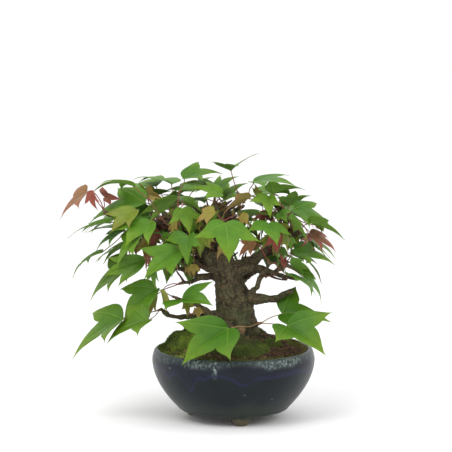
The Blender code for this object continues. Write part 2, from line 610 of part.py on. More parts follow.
@dataclass(frozen=True)
class Blade:
    """A leaf blade in space: its junction and the vectors from there to its three lobe tips."""

    junction: Vector
    ribs: tuple

    def moved(self, shift, tilt):
        across = (self.ribs[2] - self.ribs[0]).normalized()
        turn = Matrix.Rotation(math.radians(tilt), 3, across)
        return Blade(self.junction + shift, tuple(turn @ rib for rib in self.ribs))

    def normal(self):
        """The way the blade's upper side faces."""
        up = (self.ribs[1].cross(self.ribs[2]) + self.ribs[0].cross(self.ribs[1])).normalized()
        outward = Vector((self.junction.x * 0.004, self.junction.y * 0.01, 1.0))
        return up if up.dot(outward) > 0 else -up

    def place(self, u, v):
        """A point of the flat unit leaf, on the blade."""
        tip_u, tip_v = SIDE_LOBE_TIP
        side = self.ribs[2] if v > 0 else self.ribs[0]
        along_side = abs(v) / tip_v
        along_middle = u - along_side * tip_u
        reach = math.hypot(u, v)
        arch = BLADE_ARCH * 4 * reach * max(0.0, 1.0 - reach / 0.95) * self.ribs[1].length
        return self.junction + self.ribs[1] * along_middle + side * along_side + self.normal() * arch


def blade_from_leaf(leaf):
    """Leans each lobe out of the elevation so that it has its true length and the lobes spread evenly."""
    junction = tree_point(*leaf.junction)
    x, _, height = leaf.junction
    flat = [Vector((tip[0] - x, 0.0, tip[1] - height)) * TREE_SCALE for tip in leaf.tips]
    sizes = [leaf.size * share * TREE_SCALE for share in (SIDE_LOBE_SHARE, 1.0, SIDE_LOBE_SHARE)]
    leans = [math.sqrt(max(0.0, size ** 2 - rib.length ** 2)) * 0.8 for size, rib in zip(sizes, flat)]
    best, ribs = None, None
    for choice in range(8):
        signs = [1 if choice >> bit & 1 else -1 for bit in range(3)]
        tried = [rib + Vector((0, sign * lean, 0)) for rib, sign, lean in zip(flat, signs, leans)]
        left, middle, right = (rib.normalized() for rib in tried)
        uneven = abs(math.degrees(left.angle(middle)) - LOBE_SPREAD)
        uneven += abs(math.degrees(middle.angle(right)) - LOBE_SPREAD)
        folded = abs(left.cross(right).normalized().dot(middle)) * 60
        hidden = 12 if middle.y > 0 else 0
        score = uneven + folded + hidden
        if best is None or score < best:
            best, ribs = score, tuple(tried)
    return Blade(junction, ribs)


def back_blades(index):
    """Three drooping leaves on the crown's far side, spaced by the golden angle."""
    share = (index + 0.5) / BACK_SHOOTS
    turn = (index * 0.618034) % 1.0
    azimuth = math.radians(-12 + 204 * turn)
    rise = math.radians(-24 + 92 * share)
    centre = Vector(BACK_CROWN_CENTRE)
    radii = Vector(BACK_CROWN_RADII)
    blades = []
    for sign, aside, reach in zip((-1, 1, 0), BACK_LEAF_TURNS, BACK_LEAF_REACHES):
        angle = azimuth + math.radians(aside)
        way = Vector((math.cos(angle) * math.cos(rise), math.sin(angle) * math.cos(rise), math.sin(rise)))
        spot = centre + Vector(a * b * reach for a, b in zip(way, radii))
        junction = tree_point(*spot)
        level = Vector((way.x, way.y, 0)).normalized()
        across = Vector((-level.y, level.x, 0))
        droop = math.radians(BACK_DROOP + 14 * math.sin(index * 1.7 + sign) - 40 * max(0.0, math.sin(rise)))
        size = BACK_LEAF_SIZES[(index + sign) % len(BACK_LEAF_SIZES)] * TREE_SCALE
        middle = (level * math.cos(droop) - Vector((0, 0, math.sin(droop)))) * size
        roll = math.radians(16 * math.sin(index * 2.3 + 2 * sign))
        across = Matrix.Rotation(roll, 3, middle.normalized()) @ across
        spread = math.radians(LOBE_SPREAD)
        ribs = (
            (middle * math.cos(spread) + across * size * math.sin(spread)) * SIDE_LOBE_SHARE,
            middle,
            (middle * math.cos(spread) - across * size * math.sin(spread)) * SIDE_LOBE_SHARE,
        )
        blades.append(Blade(junction, ribs))
    return blades


def blade_shape(blade, thickness):
    """The blade as vertices and faces, and the four corners of its base in ring order."""
    middle = blade.ribs[1].normalized()
    across = blade.normal().cross(middle).normalized()
    if across.dot(blade.ribs[2]) < 0:
        across = -across
    half = STALK_WIDTH / 2
    places = [blade.junction + across * half]
    places += [blade.place(u, v) for u, v in HALF_EDGE]
    places.append(blade.place(1.0, 0.0))
    places += [blade.place(u, -v) for u, v in reversed(HALF_EDGE)]
    places.append(blade.junction - across * half)
    places += [blade.place(u, v) for u, v in MIDRIB]
    places += [blade.place(*SIDE_RIB), blade.place(SIDE_RIB[0], -SIDE_RIB[1])]
    tip, last = 6, 12
    near, far, right, left = 13, 14, 15, 16
    faces = [(last, 0, near)]
    for rib, edge in ((right, (0, 1, 2, 3, 4, 5)), (left, (12, 11, 10, 9, 8, 7))):
        base, bulge, outer, lobe, notch, side = edge
        half_faces = [(base, bulge, rib), (base, rib, near), (bulge, outer, rib), (outer, lobe, rib),
                      (rib, lobe, notch), (near, rib, notch), (near, notch, far), (far, notch, side),
                      (far, side, tip)]
        faces += half_faces if rib == right else [face[::-1] for face in half_faces]
    normals = [Vector() for _ in places]
    for face in faces:
        a, b, c = (places[index] for index in face)
        normal = (b - a).cross(c - a)
        for index in face:
            normals[index] += normal
    lift = [normal.normalized() * thickness / 2 for normal in normals]
    count = len(places)
    verts = [place + up for place, up in zip(places, lift)] + [place - up for place, up in zip(places, lift)]
    solid = list(faces) + [tuple(index + count for index in face[::-1]) for face in faces]
    for start in range(last):
        after = start + 1
        solid.append((start + count, after + count, after, start))
    return verts, solid, (0, last, last + count, count)


def stalk_rings(corners, blade, base):
    """The rings of the stalk between a bud's face and the base of the blade."""
    start = sum(corners, Vector()) / 4
    end = sum(base, Vector()) / 4
    away = (corners[1] - corners[0]).cross(corners[2] - corners[1]).normalized()
    pull = (end - start).length * 0.4
    inward = (blade.ribs[1].normalized() * 0.7 + Vector((0, 0, 0.1))).normalized()
    handles = (start, start + away * pull, end - inward * pull, end)
    half = STALK_WIDTH / 2
    side = (corners[1] - corners[0]).normalized()
    rings = []
    frames = []
    for step in range(1, STALK_RINGS + 2):
        t = step / (STALK_RINGS + 1)
        s = 1 - t
        centre = sum((h * w for h, w in zip(handles, (s ** 3, 3 * s * s * t, 3 * s * t * t, t ** 3))), Vector())
        along = 3 * (s * s * (handles[1] - handles[0]) + 2 * s * t * (handles[2] - handles[1])
                     + t * t * (handles[3] - handles[2]))
        along.normalize()
        side = (side - along * side.dot(along)).normalized()
        frames.append((centre, along, side))
    _, along, side = frames[-1]
    wanted = (base[1] - base[0]).normalized()
    twist = math.atan2(along.dot(side.cross(wanted)), side.dot(wanted))
    twist -= round(twist / (math.pi / 2)) * math.pi / 2
    for index, (centre, along, side) in enumerate(frames[:-1]):
        share = (index + 1) / len(frames)
        turned = Matrix.Rotation(twist * share, 3, along) @ side
        across = along.cross(turned)
        rings.append([centre + half * (turned * a + across * b) for a, b in ((-1, -1), (1, -1), (1, 1), (-1, 1))])
    return rings


def leaf_shape(corners, blade, swell=0.0):
    """Stalk and blade in one: vertices and faces, the first four vertices being the bud's corners."""
    verts, faces, base = blade_shape(blade, BLADE_THICKNESS + swell)
    rings = stalk_rings(corners, blade, [verts[index] for index in base])
    all_rings = [list(corners)] + rings
    places = [corner for ring in all_rings for corner in ring]
    offset = len(places)
    polygons = []
    for index in range(len(all_rings) - 1):
        low, high = 4 * index, 4 * index + 4
        for step in range(4):
            after = (step + 1) % 4
            polygons.append((low + step, low + after, high + after, high + step))
    low = 4 * (len(all_rings) - 1)
    ring = [offset + index for index in base]
    ring = nearest_match([places[low + step] for step in range(4)], ring, verts, offset)
    for step in range(4):
        after = (step + 1) % 4
        polygons.append((low + step, low + after, ring[after], ring[step]))
    places += verts
    polygons += [tuple(index + offset for index in face) for face in faces]
    return places, polygons


def nearest_match(corners, ring, verts, offset):
    """The order of a ring's four vertices, either way round, that lies nearest to the corners."""
    orders = []
    for flow in (ring, ring[::-1]):
        for start in range(4):
            orders.append([flow[(start + step) % 4] for step in range(4)])
    return min(orders, key=lambda order: sum((verts[index - offset] - corner).length
                                             for index, corner in zip(order, corners)))


class Wood:
    """The finished wood, for finding where a shoot can start and what it must clear."""

    def __init__(self, obj, others):
        self.places, self.polygons = evaluated_polygons(obj)
        self.tree = BVHTree.FromPolygons(self.places, self.polygons)
        for other in others:
            self.add(*evaluated_polygons(other))
        self.everything = BVHTree.FromPolygons(self.places, self.polygons)
        self.used = []

    def add(self, places, polygons):
        offset = len(self.places)
        self.places = self.places + list(places)
        self.polygons = self.polygons + [tuple(index + offset for index in polygon) for polygon in polygons]
        self.everything = BVHTree.FromPolygons(self.places, self.polygons)

    def bud_spots(self):
        """Points on the limbs and the way a bud there may face: along a limb's end, or away from its side."""
        for limb in LIMBS:
            places = [tree_point(*point[:3]) for point in limb.points]
            for index in range(1, len(places)):
                along = (places[index] - places[index - 1]).normalized()
                yield places[index], along, limb.points[index][3], index == len(places) - 1

    def buds_for(self, junctions):
        """Where a shoot could start, best first: near its leaves, on a spot that no other shoot has taken."""
        middle = sum(junctions, Vector()) / len(junctions)
        found = []
        for spot, along, radius, is_end in self.bud_spots():
            way = (middle - spot).normalized()
            if not is_end:
                way = (way - along * way.dot(along)).normalized()
            elif way.dot(along) < 0.2:
                way = (way + along * (0.4 - way.dot(along))).normalized()
            start = self.clear_point(spot, way, radius)
            if start is None:
                continue
            crowding = sum(30.0 for taken in self.used if (taken - start).length < 3 * BUD_SIZE)
            reach = sum((junction - start).length for junction in junctions) / len(junctions)
            short = max(0.0, 8.0 - min((junction - start).length for junction in junctions)) * 4
            bend = 12.0 * (1.0 - way.dot((middle - start).normalized()))
            score = reach + short + bend + crowding
            found.append((score, start, way))
        found.sort(key=lambda bud: bud[0])
        return [(start, way) for _, start, way in found[:BUDS_TO_TRY]]

    def clear_point(self, spot, way, radius):
        """The first point along way where a bud stands just clear of the wood."""
        need = BUD_SIZE * 0.87 + TOUCH_GAP
        for step in range(60):
            point = spot + way * (radius * 0.8 + need + 0.2 * step)
            nearest, normal, _, distance = self.tree.find_nearest(point)
            outside = distance >= need and (point - nearest).dot(normal) > 0
            if outside and self.everything.find_nearest(point)[3] >= need:
                return point
        return None


def bud_faces(start, way):
    """A small block facing way: its corners, and its six faces as corner indices."""
    across = way.orthogonal().normalized()
    other = way.cross(across)
    half = BUD_SIZE / 2
    corners = [start + half * (across * a + other * b + way * c)
               for c in (-1, 1) for a, b in ((-1, -1), (1, -1), (1, 1), (-1, 1))]
    faces = [(3, 2, 1, 0), (4, 5, 6, 7), (0, 1, 5, 4), (1, 2, 6, 5), (2, 3, 7, 6), (3, 0, 4, 7)]
    return corners, faces


def face_normal(corners, face):
    a, b, c = (corners[index] for index in face[:3])
    return (b - a).cross(c - b).normalized()


def settling_moves():
    """Shifts and tilts to try, least first: mostly in depth, which keeps the front view as drawn."""
    moves = [(0.0, Vector(), 0.0)]
    ways = [(Vector((0, -1, 0)), 1.0), (Vector((0, 1, 0)), 1.05), (Vector((0, 0, 1)), 2.0), (Vector((0, 0, -1)), 2.1),
            (Vector((-1, 0, 0)), 2.0), (Vector((1, 0, 0)), 2.1), (Vector((0, -0.7, 0.7)), 1.6),
            (Vector((0, 0.7, 0.7)), 1.6), (Vector((0, -0.7, -0.7)), 1.7), (Vector((0, 0.7, -0.7)), 1.7)]
    for distance in (1.5, 3, 4.5, 6, 8, 10, 12, 15, 18, 22, 26):
        for way, cost in ways:
            for tilt in (0, 8, -8, 16, -16):
                moves.append((distance * cost + abs(tilt) * 0.25, way * distance, tilt))
    for tilt in (6, -6, 12, -12, 20, -20):
        moves.append((abs(tilt) * 0.25, Vector(), tilt))
    return sorted(moves, key=lambda move: move[0])


def crosses_itself(places, polygons):
    """True where two faces that share no corner meet."""
    tree = BVHTree.FromPolygons(places, polygons)
    return any(not set(polygons[one]) & set(polygons[other]) for one, other in tree.overlap(tree))


def settle(wood, corners, blade, siblings, moves):
    """Moves a blade by the least step that keeps it and its stalk clear of what already grows there."""
    for _, shift, tilt in moves:
        tried = blade.moved(shift, tilt)
        places, polygons = leaf_shape(corners, tried, swell=LEAF_GAP)
        shape = BVHTree.FromPolygons(places, polygons)
        if shape.overlap(wood.everything):
            continue
        free = BVHTree.FromPolygons(places, polygons[4:])
        if any(free.overlap(sibling) for sibling in siblings) or crosses_itself(places, polygons):
            continue
        return tried, True
    return blade, False


def grow(start, way, blades, wood, moves):
    """A shoot on one bud: how many of its leaves grow clear, the bud's place, and the shoot's mesh."""
    corners, faces = bud_faces(start, way)
    free_faces = faces[1:] if len(blades) > 1 else [faces[1]]
    places, polygons = list(corners), []
    siblings, grown, clear_leaves = [], [], 0
    for blade in blades:
        aim = (blade.junction - start).normalized()
        face = max(free_faces, key=lambda one: face_normal(corners, one).dot(aim))
        free_faces.remove(face)
        grown.append(face)
        ring = [corners[index] for index in face]
        settled, clear = settle(wood, ring, blade, siblings, moves)
        clear_leaves += clear
        leaf_places, leaf_polygons = leaf_shape(ring, settled)
        siblings.append(BVHTree.FromPolygons(leaf_places, leaf_polygons[4:]))
        offset = len(places)
        places += leaf_places
        polygons += [tuple(index + offset for index in polygon) for polygon in leaf_polygons]
    polygons += [face for face in faces if face not in grown]
    bm = bmesh.new()
    verts = [bm.verts.new(place) for place in places]
    for polygon in polygons:
        bm.faces.new([verts[index] for index in polygon])
    bmesh.ops.remove_doubles(bm, verts=bm.verts, dist=1e-4)
    bmesh.ops.triangulate(bm, faces=bm.faces)
    return clear_leaves - crosses_itself(*bmesh_polygons(bm)), start, bm


def build_shoot(name, finish, blades, wood, moves, parent):
    tries = []
    for start, way in wood.buds_for([blade.junction for blade in blades]):
        tries.append(grow(start, way, blades, wood, moves))
        if tries[-1][0] == len(blades):
            break
    clear, start, bm = max(tries, key=lambda one: one[0])
    if clear < len(blades):
        print(f"{name}: {clear} of its {len(blades)} leaves are clear")
    wood.used.append(start)
    wood.add(*bmesh_polygons(bm))
    return add_object(name, bm, bpy.data.materials[finish], parent, smooth_below=50.0)


def bmesh_polygons(bm):
    bm.verts.index_update()
    return [vert.co.copy() for vert in bm.verts], [tuple(vert.index for vert in face.verts) for face in bm.faces]


def build_leaves(parent, wood):
    for finish in ("leaf_green", "leaf_dark", "leaf_olive", "leaf_red"):
        make_material(finish)
    moves = settling_moves()
    for shoot in SHOOTS:
        blades = [blade_from_leaf(leaf) for leaf in shoot.leaves]
        build_shoot(shoot.name, shoot.finish, blades, wood, moves, parent)
    for index in range(BACK_SHOOTS):
        finish = "leaf_dark" if index % 3 else "leaf_green"
        build_shoot(f"shoot_back_{index + 1}", finish, back_blades(index), wood, moves, parent)


# ---------------------------------------------------------------- the plant

def centre_on_ground(plant):
    """Moves the plant so that its bounding box stands on z = 0, centred on the origin."""
    bpy.context.view_layer.update()
    corners = []
    for obj in bpy.context.scene.objects:
        if obj.type == "MESH" and not obj.hide_render:
            places, _ = evaluated_polygons(obj)
            corners += places
    low = [min(corner[axis] for corner in corners) for axis in range(3)]
    high = [max(corner[axis] for corner in corners) for axis in range(3)]
    plant.location = (-(low[0] + high[0]) / 2 * MM, -(low[1] + high[1]) / 2 * MM, -low[2] * MM)
    bpy.context.view_layer.update()
    print("pot axis at", [round(value, 5) for value in plant.location])


def main():
    remove_all_objects()
    plant = bpy.data.objects.new("plant", None)
    bpy.context.collection.objects.link(plant)
    pot = build_pot(plant)
    build_drainage(plant)
    soil = build_soil(plant, build_trunk_hole(plant))
    build_moss(plant)
    wood = build_wood(plant)
    bpy.context.view_layer.update()
    moss = [obj for obj in bpy.context.scene.objects if obj.name.startswith("moss")]
    build_leaves(plant, Wood(wood, [pot, soil, *moss]))
    centre_on_ground(plant)


main()
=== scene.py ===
"""A small trident maple bonsai in a round glazed pot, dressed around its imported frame.

Every place and size is read from the frame's own solids: the pot's axis and rim, the soil's
mound, the limbs, and for each leaf the solid's junction, lobe tips and stalk.
"""

import json
import logging
import math
import random
from dataclasses import dataclass, field
from enum import Enum
from typing import Iterable, Optional, Sequence

import bmesh
import bpy
import numpy as np
from mathutils import Matrix, Vector, kdtree, noise
from mathutils.bvhtree import BVHTree

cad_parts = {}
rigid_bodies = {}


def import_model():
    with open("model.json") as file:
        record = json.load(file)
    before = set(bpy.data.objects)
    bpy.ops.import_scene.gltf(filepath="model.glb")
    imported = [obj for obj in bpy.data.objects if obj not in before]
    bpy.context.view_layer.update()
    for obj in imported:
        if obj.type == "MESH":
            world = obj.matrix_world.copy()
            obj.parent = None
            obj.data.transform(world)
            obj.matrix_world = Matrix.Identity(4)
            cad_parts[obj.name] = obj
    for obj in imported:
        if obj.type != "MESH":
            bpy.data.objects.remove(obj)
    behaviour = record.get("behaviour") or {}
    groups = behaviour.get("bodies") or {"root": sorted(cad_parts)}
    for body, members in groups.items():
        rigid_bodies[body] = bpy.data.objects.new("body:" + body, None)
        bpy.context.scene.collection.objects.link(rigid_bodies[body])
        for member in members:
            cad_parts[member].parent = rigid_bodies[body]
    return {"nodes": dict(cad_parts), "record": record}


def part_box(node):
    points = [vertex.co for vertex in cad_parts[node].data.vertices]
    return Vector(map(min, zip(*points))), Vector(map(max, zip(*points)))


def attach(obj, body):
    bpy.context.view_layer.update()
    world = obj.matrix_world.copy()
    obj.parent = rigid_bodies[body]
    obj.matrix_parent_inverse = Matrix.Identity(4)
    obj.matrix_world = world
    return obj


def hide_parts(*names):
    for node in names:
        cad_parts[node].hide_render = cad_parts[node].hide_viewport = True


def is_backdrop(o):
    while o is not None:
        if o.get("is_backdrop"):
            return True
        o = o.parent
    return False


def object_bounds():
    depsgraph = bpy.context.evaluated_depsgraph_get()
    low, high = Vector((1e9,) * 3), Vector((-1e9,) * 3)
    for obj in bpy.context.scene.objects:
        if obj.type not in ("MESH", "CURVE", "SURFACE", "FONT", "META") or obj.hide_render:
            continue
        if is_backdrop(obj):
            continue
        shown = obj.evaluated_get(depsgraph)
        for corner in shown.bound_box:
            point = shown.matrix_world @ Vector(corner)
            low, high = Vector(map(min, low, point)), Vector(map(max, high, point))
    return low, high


LOG = logging.getLogger("bonsai")
Socket = bpy.types.NodeSocket
Colour = tuple[float, float, float]


# ------------------------------------------------------------------ shared helpers

def rgb(code: str) -> Colour:
    """Turns a display colour such as "6EA546" into linear red, green and blue."""
    parts = [int(code[start:start + 2], 16) / 255 for start in (0, 2, 4)]
    return tuple(c / 12.92 if c <= 0.04045 else ((c + 0.055) / 1.055) ** 2.4 for c in parts)


def blend(one: Sequence[float], other: Sequence[float], share: float) -> Colour:
    """Mixes two colours, share being the part of the second."""
    return tuple(a + (b - a) * share for a, b in zip(one, other))


def smoothstep(low: float, high: float, value: float) -> float:
    """A smooth rise from 0 at low to 1 at high."""
    t = min(1.0, max(0.0, (value - low) / (high - low)))
    return t * t * (3 - 2 * t)


def catmull(points: Sequence[Vector], steps: int) -> list[Vector]:
    """A smooth curve through points.

    Args:
        points: The points it passes through, in order.
        steps: How many pieces each stretch between two points is cut into.

    Returns:
        The points along the curve, ends included.
    """
    spots = [points[0] * 2 - points[1], *points, points[-1] * 2 - points[-2]]
    curve = []
    for a, b, c, d in zip(spots, spots[1:], spots[2:], spots[3:]):
        for step in range(steps):
            t = step / steps
            curve.append(0.5 * ((2 * b) + (c - a) * t + (2 * a - 5 * b + 4 * c - d) * t ** 2
                                + (3 * b - a - 3 * c + d) * t ** 3))
    curve.append(points[-1].copy())
    return curve


def merged_copy(node: bpy.types.Object) -> bmesh.types.BMesh:
    """A frame node's mesh with its loose triangles merged.

    Args:
        node: The frame's object.

    Returns:
        A new bmesh, which the caller frees.
    """
    bm = bmesh.new()
    bm.from_mesh(node.data)
    bmesh.ops.remove_doubles(bm, verts=bm.verts, dist=2e-6)
    bm.verts.ensure_lookup_table()
    bm.faces.ensure_lookup_table()
    return bm


def add_piece(name: str, bm: bmesh.types.BMesh, materials: Sequence[bpy.types.Material],
              smooth: bool = True) -> bpy.types.Object:
    """Makes a finished bmesh an object at the origin.

    Args:
        name: The piece's name.
        bm: Its mesh, which is freed.
        materials: Its materials, in the order of the faces' indices.
        smooth: Whether its faces are shaded smooth.

    Returns:
        The new object.
    """
    mesh = bpy.data.meshes.new(name)
    bm.to_mesh(mesh)
    bm.free()
    if smooth:
        mesh.shade_smooth()
    piece = bpy.data.objects.new(name, mesh)
    bpy.context.scene.collection.objects.link(piece)
    for material in materials:
        mesh.materials.append(material)
    return piece


def applied(piece: bpy.types.Object) -> bpy.types.Object:
    """Replaces an object's mesh with what its modifiers make of it."""
    graph = bpy.context.evaluated_depsgraph_get()
    mesh = bpy.data.meshes.new_from_object(piece.evaluated_get(graph))
    old = piece.data
    piece.modifiers.clear()
    piece.data = mesh
    bpy.data.meshes.remove(old)
    return piece


def grow_ring(bm: bmesh.types.BMesh, ring: Sequence[bmesh.types.BMVert], edges: Sequence[bmesh.types.BMEdge],
              material: int = 0) -> tuple[list[bmesh.types.BMVert], list[bmesh.types.BMEdge], list[bmesh.types.BMFace]]:
    """Extrudes a row of edges once.

    Args:
        bm: The mesh.
        ring: The row's vertices, in order.
        edges: The edges between them.
        material: The index of the new faces' material.

    Returns:
        The new row's vertices in the same order, its edges, and the faces between the two rows.
    """
    grown = bmesh.ops.extrude_edge_only(bm, edges=edges)["geom"]
    fresh = {item for item in grown if isinstance(item, bmesh.types.BMVert)}
    above = {}
    for vert in fresh:
        for edge in vert.link_edges:
            other = edge.other_vert(vert)
            if other not in fresh:
                above[other] = vert
    faces = [item for item in grown if isinstance(item, bmesh.types.BMFace)]
    for face in faces:
        face.material_index = material
    onward = [item for item in grown if isinstance(item, bmesh.types.BMEdge)
              and item.verts[0] in fresh and item.verts[1] in fresh]
    return [above[vert] for vert in ring], onward, faces


def tube_along(bm: bmesh.types.BMesh, path: Sequence[Vector], radii: Sequence[float], sides: int,
               material: int = 0) -> list[bmesh.types.BMVert]:
    """Adds a round tube that follows a path, made from a circle that is extruded ring by ring.

    Args:
        bm: The mesh that it is added to.
        path: The points of its centreline.
        radii: Its radius at each point.
        sides: How many sides it has.
        material: The index of its material.

    Returns:
        The tube's vertices.
    """
    along = (path[1] - path[0]).normalized()
    side = along.orthogonal().normalized()
    ring = bmesh.ops.create_circle(bm, segments=sides, radius=1.0, cap_ends=True)["verts"]
    turns = [math.atan2(vert.co.y, vert.co.x) for vert in ring]
    ring[0].link_faces[0].material_index = material
    edges = list({edge for vert in ring for edge in vert.link_edges})
    everything = list(ring)
    for index, (point, radius) in enumerate(zip(path, radii)):
        ahead = path[min(index + 1, len(path) - 1)] - path[max(index - 1, 0)]
        along = ahead.normalized() if ahead.length > 0 else along
        side = (side - along * side.dot(along)).normalized()
        across = along.cross(side)
        if index:
            ring, edges, _ = grow_ring(bm, ring, edges, material)
            everything += ring
        for vert, turn in zip(ring, turns):
            vert.co = point + radius * (side * math.cos(turn) + across * math.sin(turn))
    bm.faces.new(ring).material_index = material
    return everything


def repeated(name: str, template: bmesh.types.BMesh, places: Sequence[Matrix],
             tones: Sequence[Colour]) -> bpy.types.Object:
    """One object that holds a small shape many times.

    Args:
        name: The object's name.
        template: The small shape, which is freed.
        places: Where each copy stands, as a matrix.
        tones: Each copy's colour, kept in the attribute "tone".

    Returns:
        The new object.
    """
    bmesh.ops.triangulate(template, faces=template.faces)
    points = np.array([vert.co for vert in template.verts])
    template.verts.index_update()
    faces = np.array([[vert.index for vert in face.verts] for face in template.faces])
    template.free()
    turned = np.array(places)
    spots = np.einsum("nij,vj->nvi", turned[:, :3, :3], points) + turned[:, None, :3, 3]
    count = len(places)
    corners = (faces[None] + np.arange(count)[:, None, None] * len(points)).reshape(-1)
    mesh = bpy.data.meshes.new(name)
    mesh.vertices.add(count * len(points))
    mesh.vertices.foreach_set("co", spots.astype(np.float32).reshape(-1))
    mesh.loops.add(len(corners))
    mesh.loops.foreach_set("vertex_index", corners.astype(np.int32))
    mesh.polygons.add(count * len(faces))
    mesh.polygons.foreach_set("loop_start", np.arange(0, len(corners), 3, dtype=np.int32))
    mesh.update(calc_edges=True)
    layer = mesh.attributes.new("tone", "FLOAT_COLOR", "POINT")
    colours = np.repeat(np.array([(*tone, 1.0) for tone in tones], np.float32), len(points), axis=0)
    layer.data.foreach_set("color", colours.reshape(-1))
    piece = bpy.data.objects.new(name, mesh)
    bpy.context.scene.collection.objects.link(piece)
    return piece


# ------------------------------------------------------------------ finishes

class Sketch:
    """A material being drawn: short calls that add shader nodes and link them."""

    def __init__(self, name: str, roughness: float, coat: float = 0.0) -> None:
        """Starts a Principled material.

        Args:
            name: The material's name.
            roughness: Its roughness where nothing drives it.
            coat: The weight of a clear coat.
        """
        self.material = bpy.data.materials.new(name)
        self.material.use_nodes = True
        self.tree = self.material.node_tree
        self.shader = self.tree.nodes["Principled BSDF"]
        self.shader.inputs["Roughness"].default_value = roughness
        self.shader.inputs["Coat Weight"].default_value = coat

    def feed(self, socket: Socket, value: object) -> None:
        """Links a socket to another, or sets its value."""
        if isinstance(value, bpy.types.NodeSocket):
            self.tree.links.new(value, socket)
        elif value is not None:
            socket.default_value = (*value, 1.0) if isinstance(value, tuple) and len(value) == 3 \
                and socket.type == "RGBA" else value

    def coordinates(self, centre: Vector, scale: Sequence[float] = (1.0, 1.0, 1.0)) -> Socket:
        """Object coordinates about a centre, with each axis stretched."""
        place = self.tree.nodes.new("ShaderNodeTexCoord")
        mapping = self.tree.nodes.new("ShaderNodeMapping")
        mapping.inputs["Location"].default_value = [-c * s for c, s in zip(centre, scale)]
        mapping.inputs["Scale"].default_value = scale
        self.tree.links.new(place.outputs["Object"], mapping.inputs["Vector"])
        return mapping.outputs["Vector"]

    def split(self, vector: Socket) -> list[Socket]:
        """The three parts of a vector."""
        node = self.tree.nodes.new("ShaderNodeSeparateXYZ")
        self.feed(node.inputs[0], vector)
        return [node.outputs[index] for index in range(3)]

    def math(self, operation: str, *values: object, clamp: bool = False) -> Socket:
        """One step of arithmetic."""
        node = self.tree.nodes.new("ShaderNodeMath")
        node.operation = operation
        node.use_clamp = clamp
        for socket, value in zip(node.inputs, values):
            self.feed(socket, value)
        return node.outputs[0]

    def noise(self, vector: Socket, scale: float, detail: float = 4.0, roughness: float = 0.55,
              distortion: float = 0.0) -> Socket:
        """Cloudy noise between 0 and 1."""
        node = self.tree.nodes.new("ShaderNodeTexNoise")
        self.feed(node.inputs["Vector"], vector)
        for key, value in (("Scale", scale), ("Detail", detail), ("Roughness", roughness),
                           ("Distortion", distortion)):
            node.inputs[key].default_value = value
        return node.outputs["Fac"]

    def cells(self, vector: Socket, scale: float, feature: str = "F1") -> Socket:
        """Distance within a field of cells."""
        node = self.tree.nodes.new("ShaderNodeTexVoronoi")
        node.feature = feature
        self.feed(node.inputs["Vector"], vector)
        node.inputs["Scale"].default_value = scale
        return node.outputs["Distance"]

    def span(self, value: Socket, low: float, high: float, to_low: float = 0.0, to_high: float = 1.0) -> Socket:
        """A smooth rise between two values, clamped outside them."""
        node = self.tree.nodes.new("ShaderNodeMapRange")
        node.interpolation_type = "SMOOTHSTEP"
        for socket, number in zip(list(node.inputs)[1:5], (low, high, to_low, to_high)):
            socket.default_value = number
        self.feed(node.inputs[0], value)
        return node.outputs[0]

    def mix(self, share: object, one: object, other: object, way: str = "MIX") -> Socket:
        """Mixes two colours."""
        node = self.tree.nodes.new("ShaderNodeMix")
        node.data_type = "RGBA"
        node.blend_type = way
        self.feed(node.inputs[0], share)
        self.feed(node.inputs[6], one)
        self.feed(node.inputs[7], other)
        return node.outputs[2]

    def attribute(self, name: str) -> bpy.types.Node:
        """A mesh attribute's node, with Color and Fac outputs."""
        node = self.tree.nodes.new("ShaderNodeAttribute")
        node.attribute_name = name
        return node

    def bump(self, height: Socket, strength: float, distance: float, below: Optional[Socket] = None) -> Socket:
        """Surface relief from a height."""
        node = self.tree.nodes.new("ShaderNodeBump")
        node.inputs["Strength"].default_value = strength
        node.inputs["Distance"].default_value = distance
        self.feed(node.inputs["Height"], height)
        if below is not None:
            self.feed(node.inputs["Normal"], below)
        return node.outputs["Normal"]

    def finish(self, colour: object, roughness: Optional[Socket] = None,
               normal: Optional[Socket] = None) -> bpy.types.Material:
        """Feeds the shader and hands back the material."""
        self.feed(self.shader.inputs["Base Color"], colour)
        if roughness is not None:
            self.feed(self.shader.inputs["Roughness"], roughness)
        if normal is not None:
            self.feed(self.shader.inputs["Normal"], normal)
        return self.material


